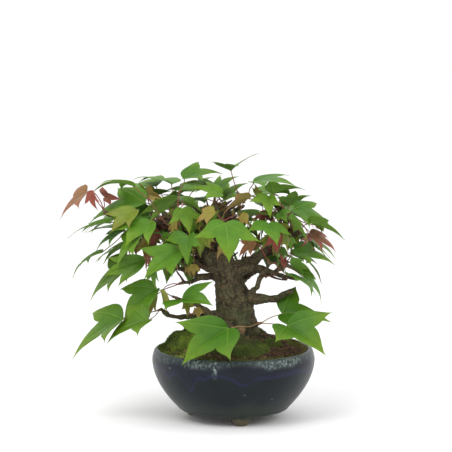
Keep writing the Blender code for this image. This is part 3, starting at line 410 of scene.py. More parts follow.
@dataclass(frozen=True)
class GlazeFinish:
    """A dark run glaze: a pale crackled rim, an indigo band that ends in a wavy run line, slate below."""

    centre: Vector
    top: float
    rim: Colour = rgb("263033")
    frost: Colour = rgb("83928B")
    band: Colour = rgb("0F1422")
    run_line: Colour = rgb("1A1E3A")
    slate: Colour = rgb("0A1318")
    sage: Colour = rgb("283029")
    clay: Colour = rgb("564F3B")

    def run_depth(self, sketch: Sketch, turn: Socket, wander: Socket) -> Socket:
        """How far below the rim the run line lies at a turn about the axis, with its drips."""
        depth = sketch.math("MULTIPLY_ADD", wander, 0.0045, 0.0112)
        drips = ((-2.498, 0.085, 0.0048), (-2.155, 0.10, 0.0118), (-1.935, 0.06, 0.0030), (-1.444, 0.13, 0.0068),
                 (-1.12, 0.20, 0.0018), (-0.30, 0.16, 0.0042), (0.35, 0.14, 0.0072), (0.9, 0.2, 0.0040),
                 (1.7, 0.12, 0.0086), (2.3, 0.18, 0.0050), (2.85, 0.10, 0.0070))
        for middle, width, fall in drips:
            away = sketch.math("DIVIDE", sketch.math("SUBTRACT", turn, middle), width)
            bell = sketch.math("EXPONENT", sketch.math("MULTIPLY", sketch.math("MULTIPLY", away, away), -1.0))
            depth = sketch.math("MULTIPLY_ADD", bell, fall, depth)
        return depth

    def frost_share(self, sketch: Sketch, turn: Socket, depth: Socket, fine: Socket) -> Socket:
        """Where the pale crackle lies: thick in two stretches of the rim, with one long drop."""
        share: Socket = sketch.span(depth, 0.0046, 0.0076, 0.24, 0.0)
        for middle, width, weight, reach in ((-2.02, 0.24, 0.8, 0.0088), (-0.86, 0.52, 0.62, 0.0084),
                                             (1.2, 0.7, 0.7, 0.0085), (2.6, 0.35, 0.6, 0.0080)):
            away = sketch.math("DIVIDE", sketch.math("SUBTRACT", turn, middle), width)
            bell = sketch.math("EXPONENT", sketch.math("MULTIPLY", sketch.math("MULTIPLY", away, away), -1.0))
            stretch = sketch.math("MULTIPLY", sketch.math("MULTIPLY", bell, weight),
                                  sketch.span(depth, reach - 0.0045, reach, 1.0, 0.0))
            share = sketch.math("MAXIMUM", share, stretch)
        drop = sketch.math("EXPONENT", sketch.math("MULTIPLY", -1.0, sketch.math("POWER", sketch.math(
            "DIVIDE", sketch.math("SUBTRACT", turn, -1.80), 0.022), 2.0)))
        drop = sketch.math("MULTIPLY", drop, sketch.span(depth, 0.0085, 0.0135, 0.9, 0.0))
        share = sketch.math("MAXIMUM", share, drop)
        flakes = sketch.math("MAXIMUM", sketch.span(fine, 0.50, 0.57), sketch.span(fine, 0.38, 0.5, 0.0, 0.22))
        return sketch.math("MULTIPLY", share, flakes)

    def make(self) -> bpy.types.Material:
        """Draws the glaze in coordinates about the pot's axis, in metres."""
        sketch = Sketch("run_glaze", roughness=0.34)
        sketch.shader.inputs["Specular IOR Level"].default_value = 0.32
        sketch.shader.inputs["IOR"].default_value = 1.4
        place = sketch.coordinates(self.centre)
        x, y, z = sketch.split(place)
        turn = sketch.math("ARCTAN2", y, x)
        depth = sketch.math("SUBTRACT", self.top, z)
        cloud = sketch.noise(place, 55.0, 5.0, 0.6)
        fine = sketch.noise(sketch.coordinates(self.centre, (1.0, 1.0, 0.62)), 560.0, 4.0, 0.65)
        wander = sketch.math("SUBTRACT", sketch.noise(place, 30.0, 2.0), 0.5)
        past_run = sketch.math("SUBTRACT", depth, self.run_depth(sketch, turn, wander))

        body = sketch.mix(sketch.span(cloud, 0.35, 0.7), self.slate, rgb("101A1F"))
        low = sketch.math("MULTIPLY_ADD", sketch.math("SUBTRACT", cloud, 0.5), 0.022, depth)
        body = sketch.mix(sketch.span(low, 0.030, 0.045, 0.0, 0.8), body, self.sage)
        body = sketch.mix(sketch.span(low, 0.0465, 0.0495), body, self.clay)
        band = sketch.mix(sketch.span(cloud, 0.42, 0.70), self.band, rgb("12171E"))
        colour = sketch.mix(sketch.span(past_run, -0.0006, 0.0022), band, body)
        line = sketch.math("MULTIPLY", sketch.span(past_run, -0.0026, -0.0002),
                           sketch.span(past_run, 0.0001, 0.0019, 1.0, 0.0))
        faint = sketch.span(sketch.noise(place, 90.0, 2.0), 0.3, 0.6, 0.35, 0.9)
        colour = sketch.mix(sketch.math("MULTIPLY", line, faint), colour, self.run_line)

        ragged = sketch.math("MULTIPLY_ADD", sketch.math("SUBTRACT", fine, 0.5), 0.009,
                             sketch.math("MULTIPLY_ADD", wander, 0.014, depth))
        rim_share = sketch.span(ragged, 0.0020, 0.0068, 0.8, 0.0)
        colour = sketch.mix(rim_share, colour, self.rim)
        frost = self.frost_share(sketch, turn, ragged, fine)
        colour = sketch.mix(frost, colour, self.frost)
        lip = sketch.span(sketch.math("MULTIPLY_ADD", fine, 0.0012, depth), 0.0007, 0.0021, 0.55, 0.0)
        colour = sketch.mix(lip, colour, rgb("3C443E"))
        pits = sketch.span(sketch.cells(place, 62.0), 0.03, 0.07, 1.0, 0.0)
        colour = sketch.mix(sketch.math("MULTIPLY", pits, 0.55), colour, rgb("6E6A56"))
        lift = sketch.math("ADD", sketch.math("MULTIPLY", frost, 0.7), sketch.math("MULTIPLY", fine, 0.25))
        normal = sketch.bump(lift, 0.35, 0.0006, sketch.bump(cloud, 0.25, 0.0012))
        rough = sketch.math("MULTIPLY_ADD", sketch.math("ADD", frost, cloud), 0.16, 0.26)
        return sketch.finish(colour, rough, normal)


@dataclass(frozen=True)
class BarkFinish:
    """Old maple bark: olive brown with painted shade in its hollows and ring creases, tan scars, and moss stains low on
    the trunk.
    """

    centre: Vector
    ground: float
    dark: Colour = rgb("221A10")
    brown: Colour = rgb("584A30")
    tan: Colour = rgb("8C7248")
    grey: Colour = rgb("625B40")
    moss: Colour = rgb("3D4420")

    def make(self) -> bpy.types.Material:
        """Draws the bark, with painted shade in its hollows taken from the mesh's own relief."""
        sketch = Sketch("maple_bark", roughness=0.86)
        place = sketch.coordinates(self.centre)
        long_way = sketch.coordinates(self.centre, (1.0, 1.0, 0.8))
        x, y, z = sketch.split(place)
        relief = sketch.attribute("relief").outputs["Fac"]
        patch = sketch.noise(place, 95.0, 5.0, 0.62)
        grain = sketch.noise(long_way, 620.0, 5.0, 0.68, 0.4)
        broad = sketch.noise(place, 38.0, 3.0, 0.5)
        colour = sketch.mix(sketch.span(patch, 0.36, 0.66), self.brown, self.grey)
        colour = sketch.mix(sketch.span(broad, 0.55, 0.74), colour, self.tan)
        colour = sketch.mix(sketch.span(grain, 0.42, 0.58, 0.7, 0.0), colour, self.dark)
        ring = sketch.noise(sketch.coordinates(self.centre, (0.30, 0.30, 2.4)), 90.0, 3.0, 0.5)
        # ring creases: sunk in the bump, and painted shade darkens them in the colour
        crease = sketch.math("SUBTRACT", 1.0, sketch.span(sketch.math("ABSOLUTE", sketch.math("SUBTRACT", ring, 0.5)), 0.004, 0.022))
        crease = sketch.math("MULTIPLY", crease, sketch.span(broad, 0.42, 0.58, 0.15, 0.75))
        colour = sketch.mix(crease, colour, self.dark)
        # painted shade: the bark is darkened where the mesh's relief is low, in the sunk hollows and between the plates
        colour = sketch.mix(sketch.span(relief, 0.28, 0.5, 0.85, 0.0), colour, self.dark)
        low = sketch.math("SUBTRACT", z, self.ground)
        stain = sketch.math("MULTIPLY", sketch.span(low, 0.006, 0.05, 0.8, 0.12), sketch.span(patch, 0.4, 0.62))
        colour = sketch.mix(stain, colour, self.moss)
        scar = sketch.attribute("scar").outputs["Fac"]
        worn = sketch.math("MULTIPLY", sketch.span(scar, 0.35, 0.9), sketch.span(patch, 0.42, 0.58, 0.15, 0.8))
        colour = sketch.mix(worn, colour, rgb("856748"))
        height = sketch.math("MULTIPLY_ADD", patch, 0.5, sketch.math("MULTIPLY_ADD", crease, -0.5, grain))
        normal = sketch.bump(height, 0.55, 0.0009)
        return sketch.finish(colour, sketch.span(grain, 0.2, 0.8, 0.95, 0.75), normal)


@dataclass(frozen=True)
class LeafFinish:
    """A leaf blade: its tone comes from the mesh, and its veins and mottling from the leaf's plan."""

    name: str
    vein: Colour = rgb("86A23E")
    under: Colour = rgb("7E9C4E")
    roughness: float = 0.46

    def make(self) -> bpy.types.Material:
        """Draws veins along the three ribs and their side veins on the leaf's own plan."""
        sketch = Sketch(self.name, roughness=self.roughness)
        sketch.shader.inputs["Specular IOR Level"].default_value = 0.24
        sketch.shader.inputs["Subsurface Weight"].default_value = 0.35
        sketch.shader.inputs["Subsurface Radius"].default_value = (0.0006, 0.0016, 0.0003)
        plan = sketch.tree.nodes.new("ShaderNodeUVMap")
        plan.uv_map = LeafPlan.UV_NAME
        raw_u, raw_v, _ = sketch.split(plan.outputs[0])
        u = sketch.math("MULTIPLY_ADD", raw_u, LeafPlan.UV_SPAN, -LeafPlan.UV_BACK)
        v = sketch.math("ABSOLUTE", sketch.math("MULTIPLY_ADD", raw_v, LeafPlan.UV_SPAN, -LeafPlan.UV_SPAN / 2))
        turn = math.radians(LeafPlan.LOBE_SPREAD)
        side_a = sketch.math("ADD", sketch.math("MULTIPLY", u, math.cos(turn)), sketch.math("MULTIPLY", v, math.sin(turn)))
        side_b = sketch.math("ABSOLUTE", sketch.math("SUBTRACT", sketch.math("MULTIPLY", v, math.cos(turn)),
                                                     sketch.math("MULTIPLY", u, math.sin(turn))))
        on_side = sketch.math("LESS_THAN", side_b, v)
        away = sketch.math("MINIMUM", side_b, v)
        keep = sketch.math("SUBTRACT", 1.0, on_side)
        along = sketch.math("ADD", sketch.math("MULTIPLY", on_side, side_a), sketch.math("MULTIPLY", keep, u))
        reach = sketch.span(along, 0.0, 1.0, 0.013, 0.003)
        main = sketch.span(sketch.math("DIVIDE", away, reach), 0.35, 1.0, 1.0, 0.0)
        phase = sketch.math("MULTIPLY", sketch.math("SUBTRACT", along, sketch.math("MULTIPLY", away, 0.95)), 13.0)
        wave = sketch.math("PINGPONG", phase, 0.5)
        branch = sketch.math("MULTIPLY", sketch.span(wave, 0.0, 0.055, 1.0, 0.0), 0.2)
        net = sketch.tree.nodes.new("ShaderNodeTexVoronoi")
        net.feature = "DISTANCE_TO_EDGE"
        net.inputs["Scale"].default_value = 42.0
        sketch.feed(net.inputs["Vector"], plan.outputs[0])
        mesh_vein = sketch.math("MULTIPLY", sketch.span(net.outputs["Distance"], 0.0, 0.09, 1.0, 0.0), 0.07)
        veins = sketch.math("MAXIMUM", sketch.math("MULTIPLY", main, 0.5), sketch.math("MAXIMUM", branch, mesh_vein))
        tone = sketch.attribute("tone").outputs["Color"]
        cloud = sketch.noise(plan.outputs[0], 9.0, 4.0, 0.6)
        colour = sketch.mix(sketch.span(cloud, 0.35, 0.7, 0.0, 0.22), tone, rgb("1B350A"))
        pale = sketch.mix(0.62, tone, self.vein)
        colour = sketch.mix(veins, colour, pale)
        under = sketch.attribute("under").outputs["Fac"]
        colour = sketch.mix(sketch.math("MULTIPLY", under, 0.55), colour, sketch.mix(0.5, tone, self.under))
        height = sketch.math("SUBTRACT", sketch.math("MULTIPLY", cloud, 0.25), veins)
        normal = sketch.bump(height, 0.30, 0.0005)
        return sketch.finish(colour, sketch.math("MULTIPLY_ADD", under, 0.2, self.roughness), normal)


@dataclass(frozen=True)
class ToneFinish:
    """A plain natural surface that takes its tone from the mesh, with speckle and relief."""

    name: str
    roughness: float
    shade: Colour
    share: float
    scale: float
    relief: float

    def make(self) -> bpy.types.Material:
        """Draws the tone with darker speckle."""
        sketch = Sketch(self.name, roughness=self.roughness)
        place = sketch.coordinates(Vector())
        tone = sketch.attribute("tone").outputs["Color"]
        speckle = sketch.noise(place, self.scale, 4.0, 0.65)
        colour = sketch.mix(sketch.span(speckle, 0.38, 0.68, self.share, 0.0), tone, self.shade)
        return sketch.finish(colour, None, sketch.bump(speckle, 0.5, self.relief))


@dataclass(frozen=True)
class GroundFinish:
    """Soil or a moss cushion: three earthy colours in clouds of two sizes."""

    name: str
    dark: Colour
    middle: Colour
    light: Colour
    scale: float

    def make(self) -> bpy.types.Material:
        """Draws the clouds and a rough relief."""
        sketch = Sketch(self.name, roughness=0.95)
        sketch.shader.inputs["Specular IOR Level"].default_value = 0.2
        place = sketch.coordinates(Vector())
        broad = sketch.noise(place, self.scale, 4.0, 0.6)
        fine = sketch.noise(place, self.scale * 7, 4.0, 0.7)
        colour = sketch.mix(sketch.span(broad, 0.38, 0.62), self.middle, self.light)
        colour = sketch.mix(sketch.span(fine, 0.4, 0.6, 0.9, 0.0), colour, self.dark)
        return sketch.finish(colour, None, sketch.bump(fine, 0.8, 0.0012))


@dataclass(frozen=True)
class PlainFinish:
    """A made part's finish, such as the drain mesh or its wire: one colour with fine wear."""

    name: str
    colour: Colour
    worn: Colour
    roughness: float
    metallic: float = 0.0

    def make(self) -> bpy.types.Material:
        """Draws the colour with worn patches."""
        sketch = Sketch(self.name, roughness=self.roughness)
        sketch.shader.inputs["Metallic"].default_value = self.metallic
        place = sketch.coordinates(Vector())
        wear = sketch.noise(place, 700.0, 3.0, 0.6)
        colour = sketch.mix(sketch.span(wear, 0.5, 0.7), self.colour, self.worn)
        return sketch.finish(colour, sketch.span(wear, 0.3, 0.8, self.roughness, self.roughness + 0.25))


# ------------------------------------------------------------------ pot

@dataclass
class Pot:
    """The glazed pot: a turned body with a rounded lip, on three tapered feet."""

    rim_diameter: float = 0.117
    base_diameter: float = 0.076
    side_draw_in: float = 0.022
    side_curve: float = 1.85
    corner: float = 0.0034
    wall: float = 0.005
    floor: float = 0.005
    foot_height: float = 0.0065
    widest_below_rim: float = 0.0085
    hole_diameter: float = 0.015
    foot_circle: float = 0.032
    foot_top: float = 0.019
    foot_tip: float = 0.009
    foot_turns: tuple[float, ...] = (-80.0, 40.0, 160.0)
    segments: int = 168
    low: Vector = field(init=False)
    high: Vector = field(init=False)

    def __post_init__(self) -> None:
        """Reads the pot's box from the frame."""
        self.low, self.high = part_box("pot")

    @property
    def axis(self) -> Vector:
        """The foot of the pot's axis, on the ground."""
        return Vector(((self.low.x + self.high.x) / 2, (self.low.y + self.high.y) / 2, 0.0))

    @property
    def top(self) -> float:
        """The height of the rim."""
        return self.high.z

    def outer_radius(self, height: float) -> float:
        """The outside radius of the body at a height."""
        widest = self.top - self.widest_below_rim
        full = (self.high.x - self.low.x) / 2
        if height >= widest:
            share = (height - widest) / self.widest_below_rim
            return full - (full - self.rim_diameter / 2) * share ** 2
        fall = (widest - height) / (widest - self.foot_height)
        return full - self.side_draw_in * fall ** self.side_curve

    def profile(self) -> list[tuple[float, float]]:
        """The body's section as (radius, height) points, closed through the drain hole."""
        widest = self.top - self.widest_below_rim
        turn_up = self.foot_height + self.corner
        edge = self.outer_radius(turn_up)
        base = self.base_diameter / 2 - 0.0015
        knee = edge - 0.0022
        outer = [(base - 0.004, self.foot_height), (base, self.foot_height)]
        for step in range(1, 10):
            t = step / 10
            radius = (1 - t) ** 2 * base + 2 * t * (1 - t) * knee + t * t * edge
            outer.append((radius, self.foot_height + self.corner * t * t))
        for step in range(30):
            height = turn_up + (widest - turn_up) * step / 30
            outer.append((self.outer_radius(height), height))
        lip = self.wall / 2
        for step in range(7):
            height = widest + (self.top - lip - widest) * step / 6
            outer.append((self.outer_radius(height), height))
        centre = self.outer_radius(self.top - lip) - lip
        for step in range(1, 12):
            turn = math.pi * step / 12
            outer.append((centre + lip * math.cos(turn), self.top - lip + lip * math.sin(turn)))
        floor_top = self.foot_height + self.floor
        inner = []
        for step in range(13):
            height = self.top - lip - (self.top - lip - floor_top - 0.003) * step / 12
            inner.append((self.outer_radius(height) - self.wall, height))
        hole = self.hole_diameter / 2
        inner += [(self.base_diameter / 2 - self.wall, floor_top), (hole + 0.0006, floor_top),
                  (hole, floor_top - 0.0006), (hole, self.foot_height + 0.0005)]
        return outer + inner + [(hole + 0.0005, self.foot_height)]

    def body(self) -> bmesh.types.BMesh:
        """Turns the section about the axis, with a potter's slight unevenness."""
        bm = bmesh.new()
        verts = [bm.verts.new((radius, 0.0, height)) for radius, height in self.profile()]
        edges = [bm.edges.new(pair) for pair in zip(verts, verts[1:] + verts[:1])]
        bmesh.ops.spin(bm, geom=verts + edges, cent=(0, 0, 0), axis=(0, 0, 1), angle=math.tau,
                       steps=self.segments, use_merge=True, use_duplicate=False)
        bmesh.ops.remove_doubles(bm, verts=bm.verts, dist=1e-6)
        for vert in bm.verts:
            way = Vector((vert.co.x, vert.co.y, 0))
            if way.length > self.base_diameter / 2:
                swell = noise.noise(vert.co * 22.0) * 0.00035 + noise.noise(vert.co * 70.0) * 0.00008
                vert.co -= way.normalized() * abs(swell)
        bmesh.ops.translate(bm, vec=self.axis, verts=bm.verts)
        bmesh.ops.recalc_face_normals(bm, faces=bm.faces)
        return bm

    def foot(self, turn: float) -> bmesh.types.BMesh:
        """A short tapered foot with a rounded tip."""
        spot = self.axis + Vector((math.cos(math.radians(turn)), math.sin(math.radians(turn)), 0)) * self.foot_circle
        tip = self.foot_tip / 2
        heights = (0.0, 0.0004, 0.0012, 0.0026, 0.0042, 0.0060, 0.0082, 0.0095)
        radii = (tip * 0.78, tip * 0.95, tip * 1.12, tip * 1.35, tip * 1.62, self.foot_top * 0.44,
                 self.foot_top * 0.49, self.foot_top * 0.5)
        bm = bmesh.new()
        tube_along(bm, [spot + Vector((0, 0, height)) for height in heights], radii, 28)
        bmesh.ops.recalc_face_normals(bm, faces=bm.faces)
        return bm

    def build(self) -> bpy.types.Object:
        """Joins body and feet and glazes them."""
        glaze = GlazeFinish(self.axis, self.top).make()
        pot = add_piece("glazed_pot", self.body(), [glaze])
        guides = []
        for index, turn in enumerate(self.foot_turns):
            guide = add_piece(f"foot_guide_{index}", self.foot(turn), [glaze])
            union = pot.modifiers.new(f"foot_{index}", "BOOLEAN")
            union.operation = "UNION"
            union.solver = "EXACT"
            union.object = guide
            guides.append(guide)
        applied(pot)
        for guide in guides:
            bpy.data.objects.remove(guide)
        pot.data.shade_smooth()
        pot.data.set_sharp_from_angle(angle=math.radians(50))
        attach(pot, "root")
        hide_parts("pot")
        return pot

    def dress_drainage(self, nodes: dict[str, bpy.types.Object]) -> None:
        """Gives the drain mesh and its wire their finishes."""
        finishes = {
            "drain_mesh": PlainFinish("black_net", rgb("1B1B1C"), rgb("343432"), 0.55),
            "mesh_wire": PlainFinish("soft_wire", rgb("B5B6B8"), rgb("85827C"), 0.35, metallic=0.9),
        }
        for name, finish in finishes.items():
            nodes[name].data.materials.clear()
            nodes[name].data.materials.append(finish.make())


# ------------------------------------------------------------------ soil and moss

def moss_tone(flat: Vector, draw: random.Random, dulled: float) -> Colour:
    """A sprig's colour: bright at the left, dark olive and brown in front, yellower at the right rim.

    Args:
        flat: The sprig's place, measured from the pot's axis.
        draw: The source of chance.
        dulled: How far it is drawn towards brown.

    Returns:
        The colour.
    """
    bright, green, dark, dry, brown = (rgb(code) for code in ("B0CC42", "728C24", "364313", "9C8C46", "4C3E22"))
    spot = Vector((flat.x, flat.y, 0.0))
    patch = 0.5 + 0.5 * noise.noise(spot * 120) + draw.uniform(-0.25, 0.25)
    broad = 0.5 + 0.5 * noise.noise(spot * 55 + Vector((3, 1, 7))) + draw.uniform(-0.2, 0.2)
    left = smoothstep(-0.006, -0.034, flat.x)
    rim = smoothstep(0.030, 0.046, flat.x)
    tone = blend(dark, green, smoothstep(0.25, 0.65, broad))
    tone = blend(tone, bright, smoothstep(0.45, 0.85, patch) * (0.35 + 0.5 * left))
    tone = blend(tone, dry, rim * draw.uniform(0.2, 0.8))
    tone = blend(tone, dark, 0.42 * smoothstep(-0.002, -0.022, flat.y) * (1 - left) * (1 - rim))
    dull = smoothstep(0.55, 0.85, 0.5 + 0.5 * noise.noise(spot * 75 + Vector((9, 4, 2))) + dulled * (1 - left))
    return blend(tone, brown, dull * draw.uniform(0.3, 0.9))


def sprig_template() -> bmesh.types.BMesh:
    """A slim three-sided point, one unit high."""
    template = bmesh.new()
    bmesh.ops.create_cone(template, segments=3, radius1=0.17, radius2=0.0, depth=1.0, cap_ends=False,
                          matrix=Matrix.Translation((0, 0, 0.5)))
    return template


@dataclass
class Ground:
    """The soil mound with its crumbs, and the moss that grows on it."""

    pot: Pot
    rings: int = 46
    segments: int = 144
    crumbs: int = 5200
    carpet_sprigs: int = 14000
    fibres: int = 5200
    rim_sprigs: int = 4200
    seed: int = 11
    soil_below_rim: float = 0.002
    edge_radius: float = field(init=False)
    peak: float = field(init=False)

    def __post_init__(self) -> None:
        """Reads the mound's width and height from the frame."""
        low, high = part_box("soil")
        self.edge_radius = self.pot.outer_radius(self.pot.top - self.soil_below_rim) - self.pot.wall - 0.0004
        self.peak = high.z

    def height(self, x: float, y: float) -> float:
        """The mound's smooth height at a place measured from the pot's axis."""
        edge = self.pot.top - self.soil_below_rim
        share = min(1.0, math.hypot(x, y) / (self.pot.rim_diameter / 2 - self.pot.wall))
        return edge + (self.peak - edge) * (1 - share ** 2)

    def build_soil(self) -> bpy.types.Object:
        """A lumpy mound, turned from its section and then displaced."""
        edge = self.pot.top - self.soil_below_rim
        profile = [(0.0, edge - 0.006), (self.edge_radius - 0.0008, edge - 0.006)]
        for step in range(self.rings + 1):
            radius = self.edge_radius * (1 - step / self.rings)
            profile.append((radius, self.height(radius, 0)))
        bm = bmesh.new()
        verts = [bm.verts.new((radius, 0, height)) for radius, height in profile]
        edges = [bm.edges.new(pair) for pair in zip(verts, verts[1:])]
        bmesh.ops.spin(bm, geom=verts + edges, cent=(0, 0, 0), axis=(0, 0, 1), angle=math.tau,
                       steps=self.segments, use_merge=True, use_duplicate=False)
        bmesh.ops.remove_doubles(bm, verts=bm.verts, dist=1e-6)
        for vert in bm.verts:
            if vert.co.z > edge - 0.003:
                radius = math.hypot(vert.co.x, vert.co.y)
                inside = smoothstep(self.edge_radius, self.edge_radius - 0.004, radius)
                lump = noise.fractal(vert.co * 160, 0.7, 2.1, 4) * 0.0007 + noise.noise(vert.co * 60) * 0.0008
                vert.co.z += lump * (0.3 + 0.7 * inside) + 0.0011 * smoothstep(self.edge_radius * 0.55, self.edge_radius, radius)
        bmesh.ops.translate(bm, vec=self.pot.axis, verts=bm.verts)
        bmesh.ops.recalc_face_normals(bm, faces=bm.faces)
        finish = GroundFinish("dark_soil", rgb("1A120B"), rgb("3A2A1D"), rgb("55412E"), 110.0)
        soil = add_piece("soil_mound", bm, [finish.make()])
        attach(soil, "root")
        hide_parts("soil")
        return soil

    def bare_share(self, spot: Vector) -> float:
        """How bare the soil is at a place measured from the axis: open at the right and in front."""
        open_side = smoothstep(0.004, 0.024, spot.x + 0.012 * noise.noise(spot * 60))
        front = 0.35 * smoothstep(-0.030, -0.045, spot.y)
        return max(open_side * smoothstep(0.035, 0.010, spot.y), front)

    def spots(self, draw: random.Random, soil: BVHTree, count: int) -> list[tuple[Vector, Vector]]:
        """Random places on the soil, each with its distance from the pot's axis."""
        found = []
        while len(found) < count:
            turn = draw.uniform(0, math.tau)
            radius = (self.edge_radius - 0.0004) * math.sqrt(draw.random())
            flat = Vector((radius * math.cos(turn), radius * math.sin(turn), 0))
            hit = soil.ray_cast(flat + self.pot.axis + Vector((0, 0, 0.1)), Vector((0, 0, -1)))[0]
            if hit is not None:
                found.append((flat, hit))
        return found

    def build_carpet(self, soil: bpy.types.Object, sprig: bpy.types.Material) -> None:
        """Short moss over most of the soil, and dead roots and needles where it is bare.

        Args:
            soil: The mound that it grows on.
            sprig: The moss sprigs' material.
        """
        draw = random.Random(self.seed + 1)
        bm = bmesh.new()
        bm.from_mesh(soil.data)
        ground = BVHTree.FromBMesh(bm)
        bm.free()
        places, tones = [], []
        for flat, hit in self.spots(draw, ground, self.carpet_sprigs):
            if draw.random() < self.bare_share(flat):
                continue
            height = draw.uniform(0.0010, 0.0024)
            lean = Vector((draw.gauss(0, 0.55), draw.gauss(0, 0.55), 1.0)).to_track_quat("Z", "Y").to_matrix().to_4x4()
            width = height * 0.6 + 0.0002
            places.append(Matrix.Translation(hit - Vector((0, 0, 0.0003))) @ lean @ Matrix.Diagonal((width, width, height, 1)))
            tones.append(moss_tone(flat, draw, 0.25))
        for _ in range(self.rim_sprigs):
            turn = draw.uniform(0, math.tau)
            shaggy = 0.5 + 0.5 * noise.noise(Vector((math.cos(turn), math.sin(turn), 0.3)) * 3.1)
            reach = 0.0024 * smoothstep(0.32, 0.75, shaggy + 0.25 * smoothstep(0.2, -0.8, math.cos(turn)))
            if reach < 0.0002:
                continue
            radius = self.edge_radius + draw.uniform(-0.0028, reach)
            flat = Vector((radius * math.cos(turn), radius * math.sin(turn), 0))
            base = flat + self.pot.axis
            base.z = self.pot.top - 0.0011 + 0.0009 * smoothstep(0.0, 0.0015, radius - self.edge_radius)
            height = draw.uniform(0.0010, 0.0022)
            way = flat.normalized() * draw.uniform(-0.2, 0.8) + Vector((draw.gauss(0, 0.4), draw.gauss(0, 0.4), 0.8))
            lean = way.to_track_quat("Z", "Y").to_matrix().to_4x4()
            width = height * 0.6 + 0.0002
            places.append(Matrix.Translation(base) @ lean @ Matrix.Diagonal((width, width, height, 1)))
            tones.append(moss_tone(flat, draw, 0.25))
        piece = repeated("moss_carpet", sprig_template(), places, tones)
        piece.data.materials.append(sprig)
        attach(piece, "root")

        places, tones = [], []
        browns = [rgb(code) for code in ("5A4028", "735232", "3E2D1E", "866642", "6C4428", "97794E")]
        for flat, hit in self.spots(draw, ground, self.fibres):
            if draw.random() > 0.25 + 0.75 * self.bare_share(flat):
                continue
            way = Vector((draw.gauss(0, 1), draw.gauss(0, 1), abs(draw.gauss(0, 0.35))))
            turn = way.to_track_quat("Z", "Y").to_matrix().to_4x4()
            width = draw.uniform(0.00055, 0.0011)
            length = draw.uniform(0.0015, 0.0042)
            places.append(Matrix.Translation(hit + Vector((0, 0, 0.0003))) @ turn @ Matrix.Diagonal((width, width, length, 1)))
            tones.append(draw.choice(browns))
        fibre = ToneFinish("dead_root", 0.9, rgb("20150C"), 0.4, 900.0, 0.0002).make()
        piece = repeated("root_fibres", sprig_template(), places, tones)
        piece.data.materials.append(fibre)
        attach(piece, "root")

    def build_crumbs(self, moss: BVHTree) -> bpy.types.Object:
        """Loose crumbs and bits of bark on the bare soil.

        Args:
            moss: The moss cushions, which the crumbs keep off.

        Returns:
            The crumbs as one object.
        """
        draw = random.Random(self.seed)
        template = bmesh.new()
        bmesh.ops.create_icosphere(template, subdivisions=1, radius=1.0)
        for vert in template.verts:
            vert.co *= 1 + 0.35 * noise.noise(vert.co * 2.3)
        places, tones = [], []
        choices = [rgb(code) for code in ("33251A", "483322", "5E442C", "765838", "8E7050", "40362A")]
        while len(places) < self.crumbs:
            turn = draw.uniform(0, math.tau)
            radius = (self.edge_radius - 0.0006) * math.sqrt(draw.random())
            spot = Vector((radius * math.cos(turn), radius * math.sin(turn), 0))
            spot.z = self.height(spot.x, spot.y)
            world = spot + self.pot.axis
            if moss.ray_cast(world - Vector((0, 0, 0.004)), Vector((0, 0, 1)), 0.02)[0] is not None:
                if draw.random() > 0.06:
                    continue
            size = 0.00034 + 0.0011 * draw.random() ** 3.2
            stretch = Matrix.Diagonal((draw.uniform(0.7, 1.7), draw.uniform(0.6, 1.0), draw.uniform(0.5, 0.9), 1))
            spin = Matrix.Rotation(draw.uniform(0, math.tau), 4, "Z") @ Matrix.Rotation(draw.uniform(-0.7, 0.7), 4, "X")
            places.append(Matrix.Translation(world + Vector((0, 0, size * 0.35))) @ spin @ Matrix.Scale(size, 4) @ stretch)
            tones.append(draw.choice(choices))
        finish = ToneFinish("soil_crumb", 0.9, rgb("130D08"), 0.5, 900.0, 0.0004)
        crumbs = repeated("soil_crumbs", template, places, tones)
        crumbs.data.materials.append(finish.make())
        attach(crumbs, "root")
        return crumbs


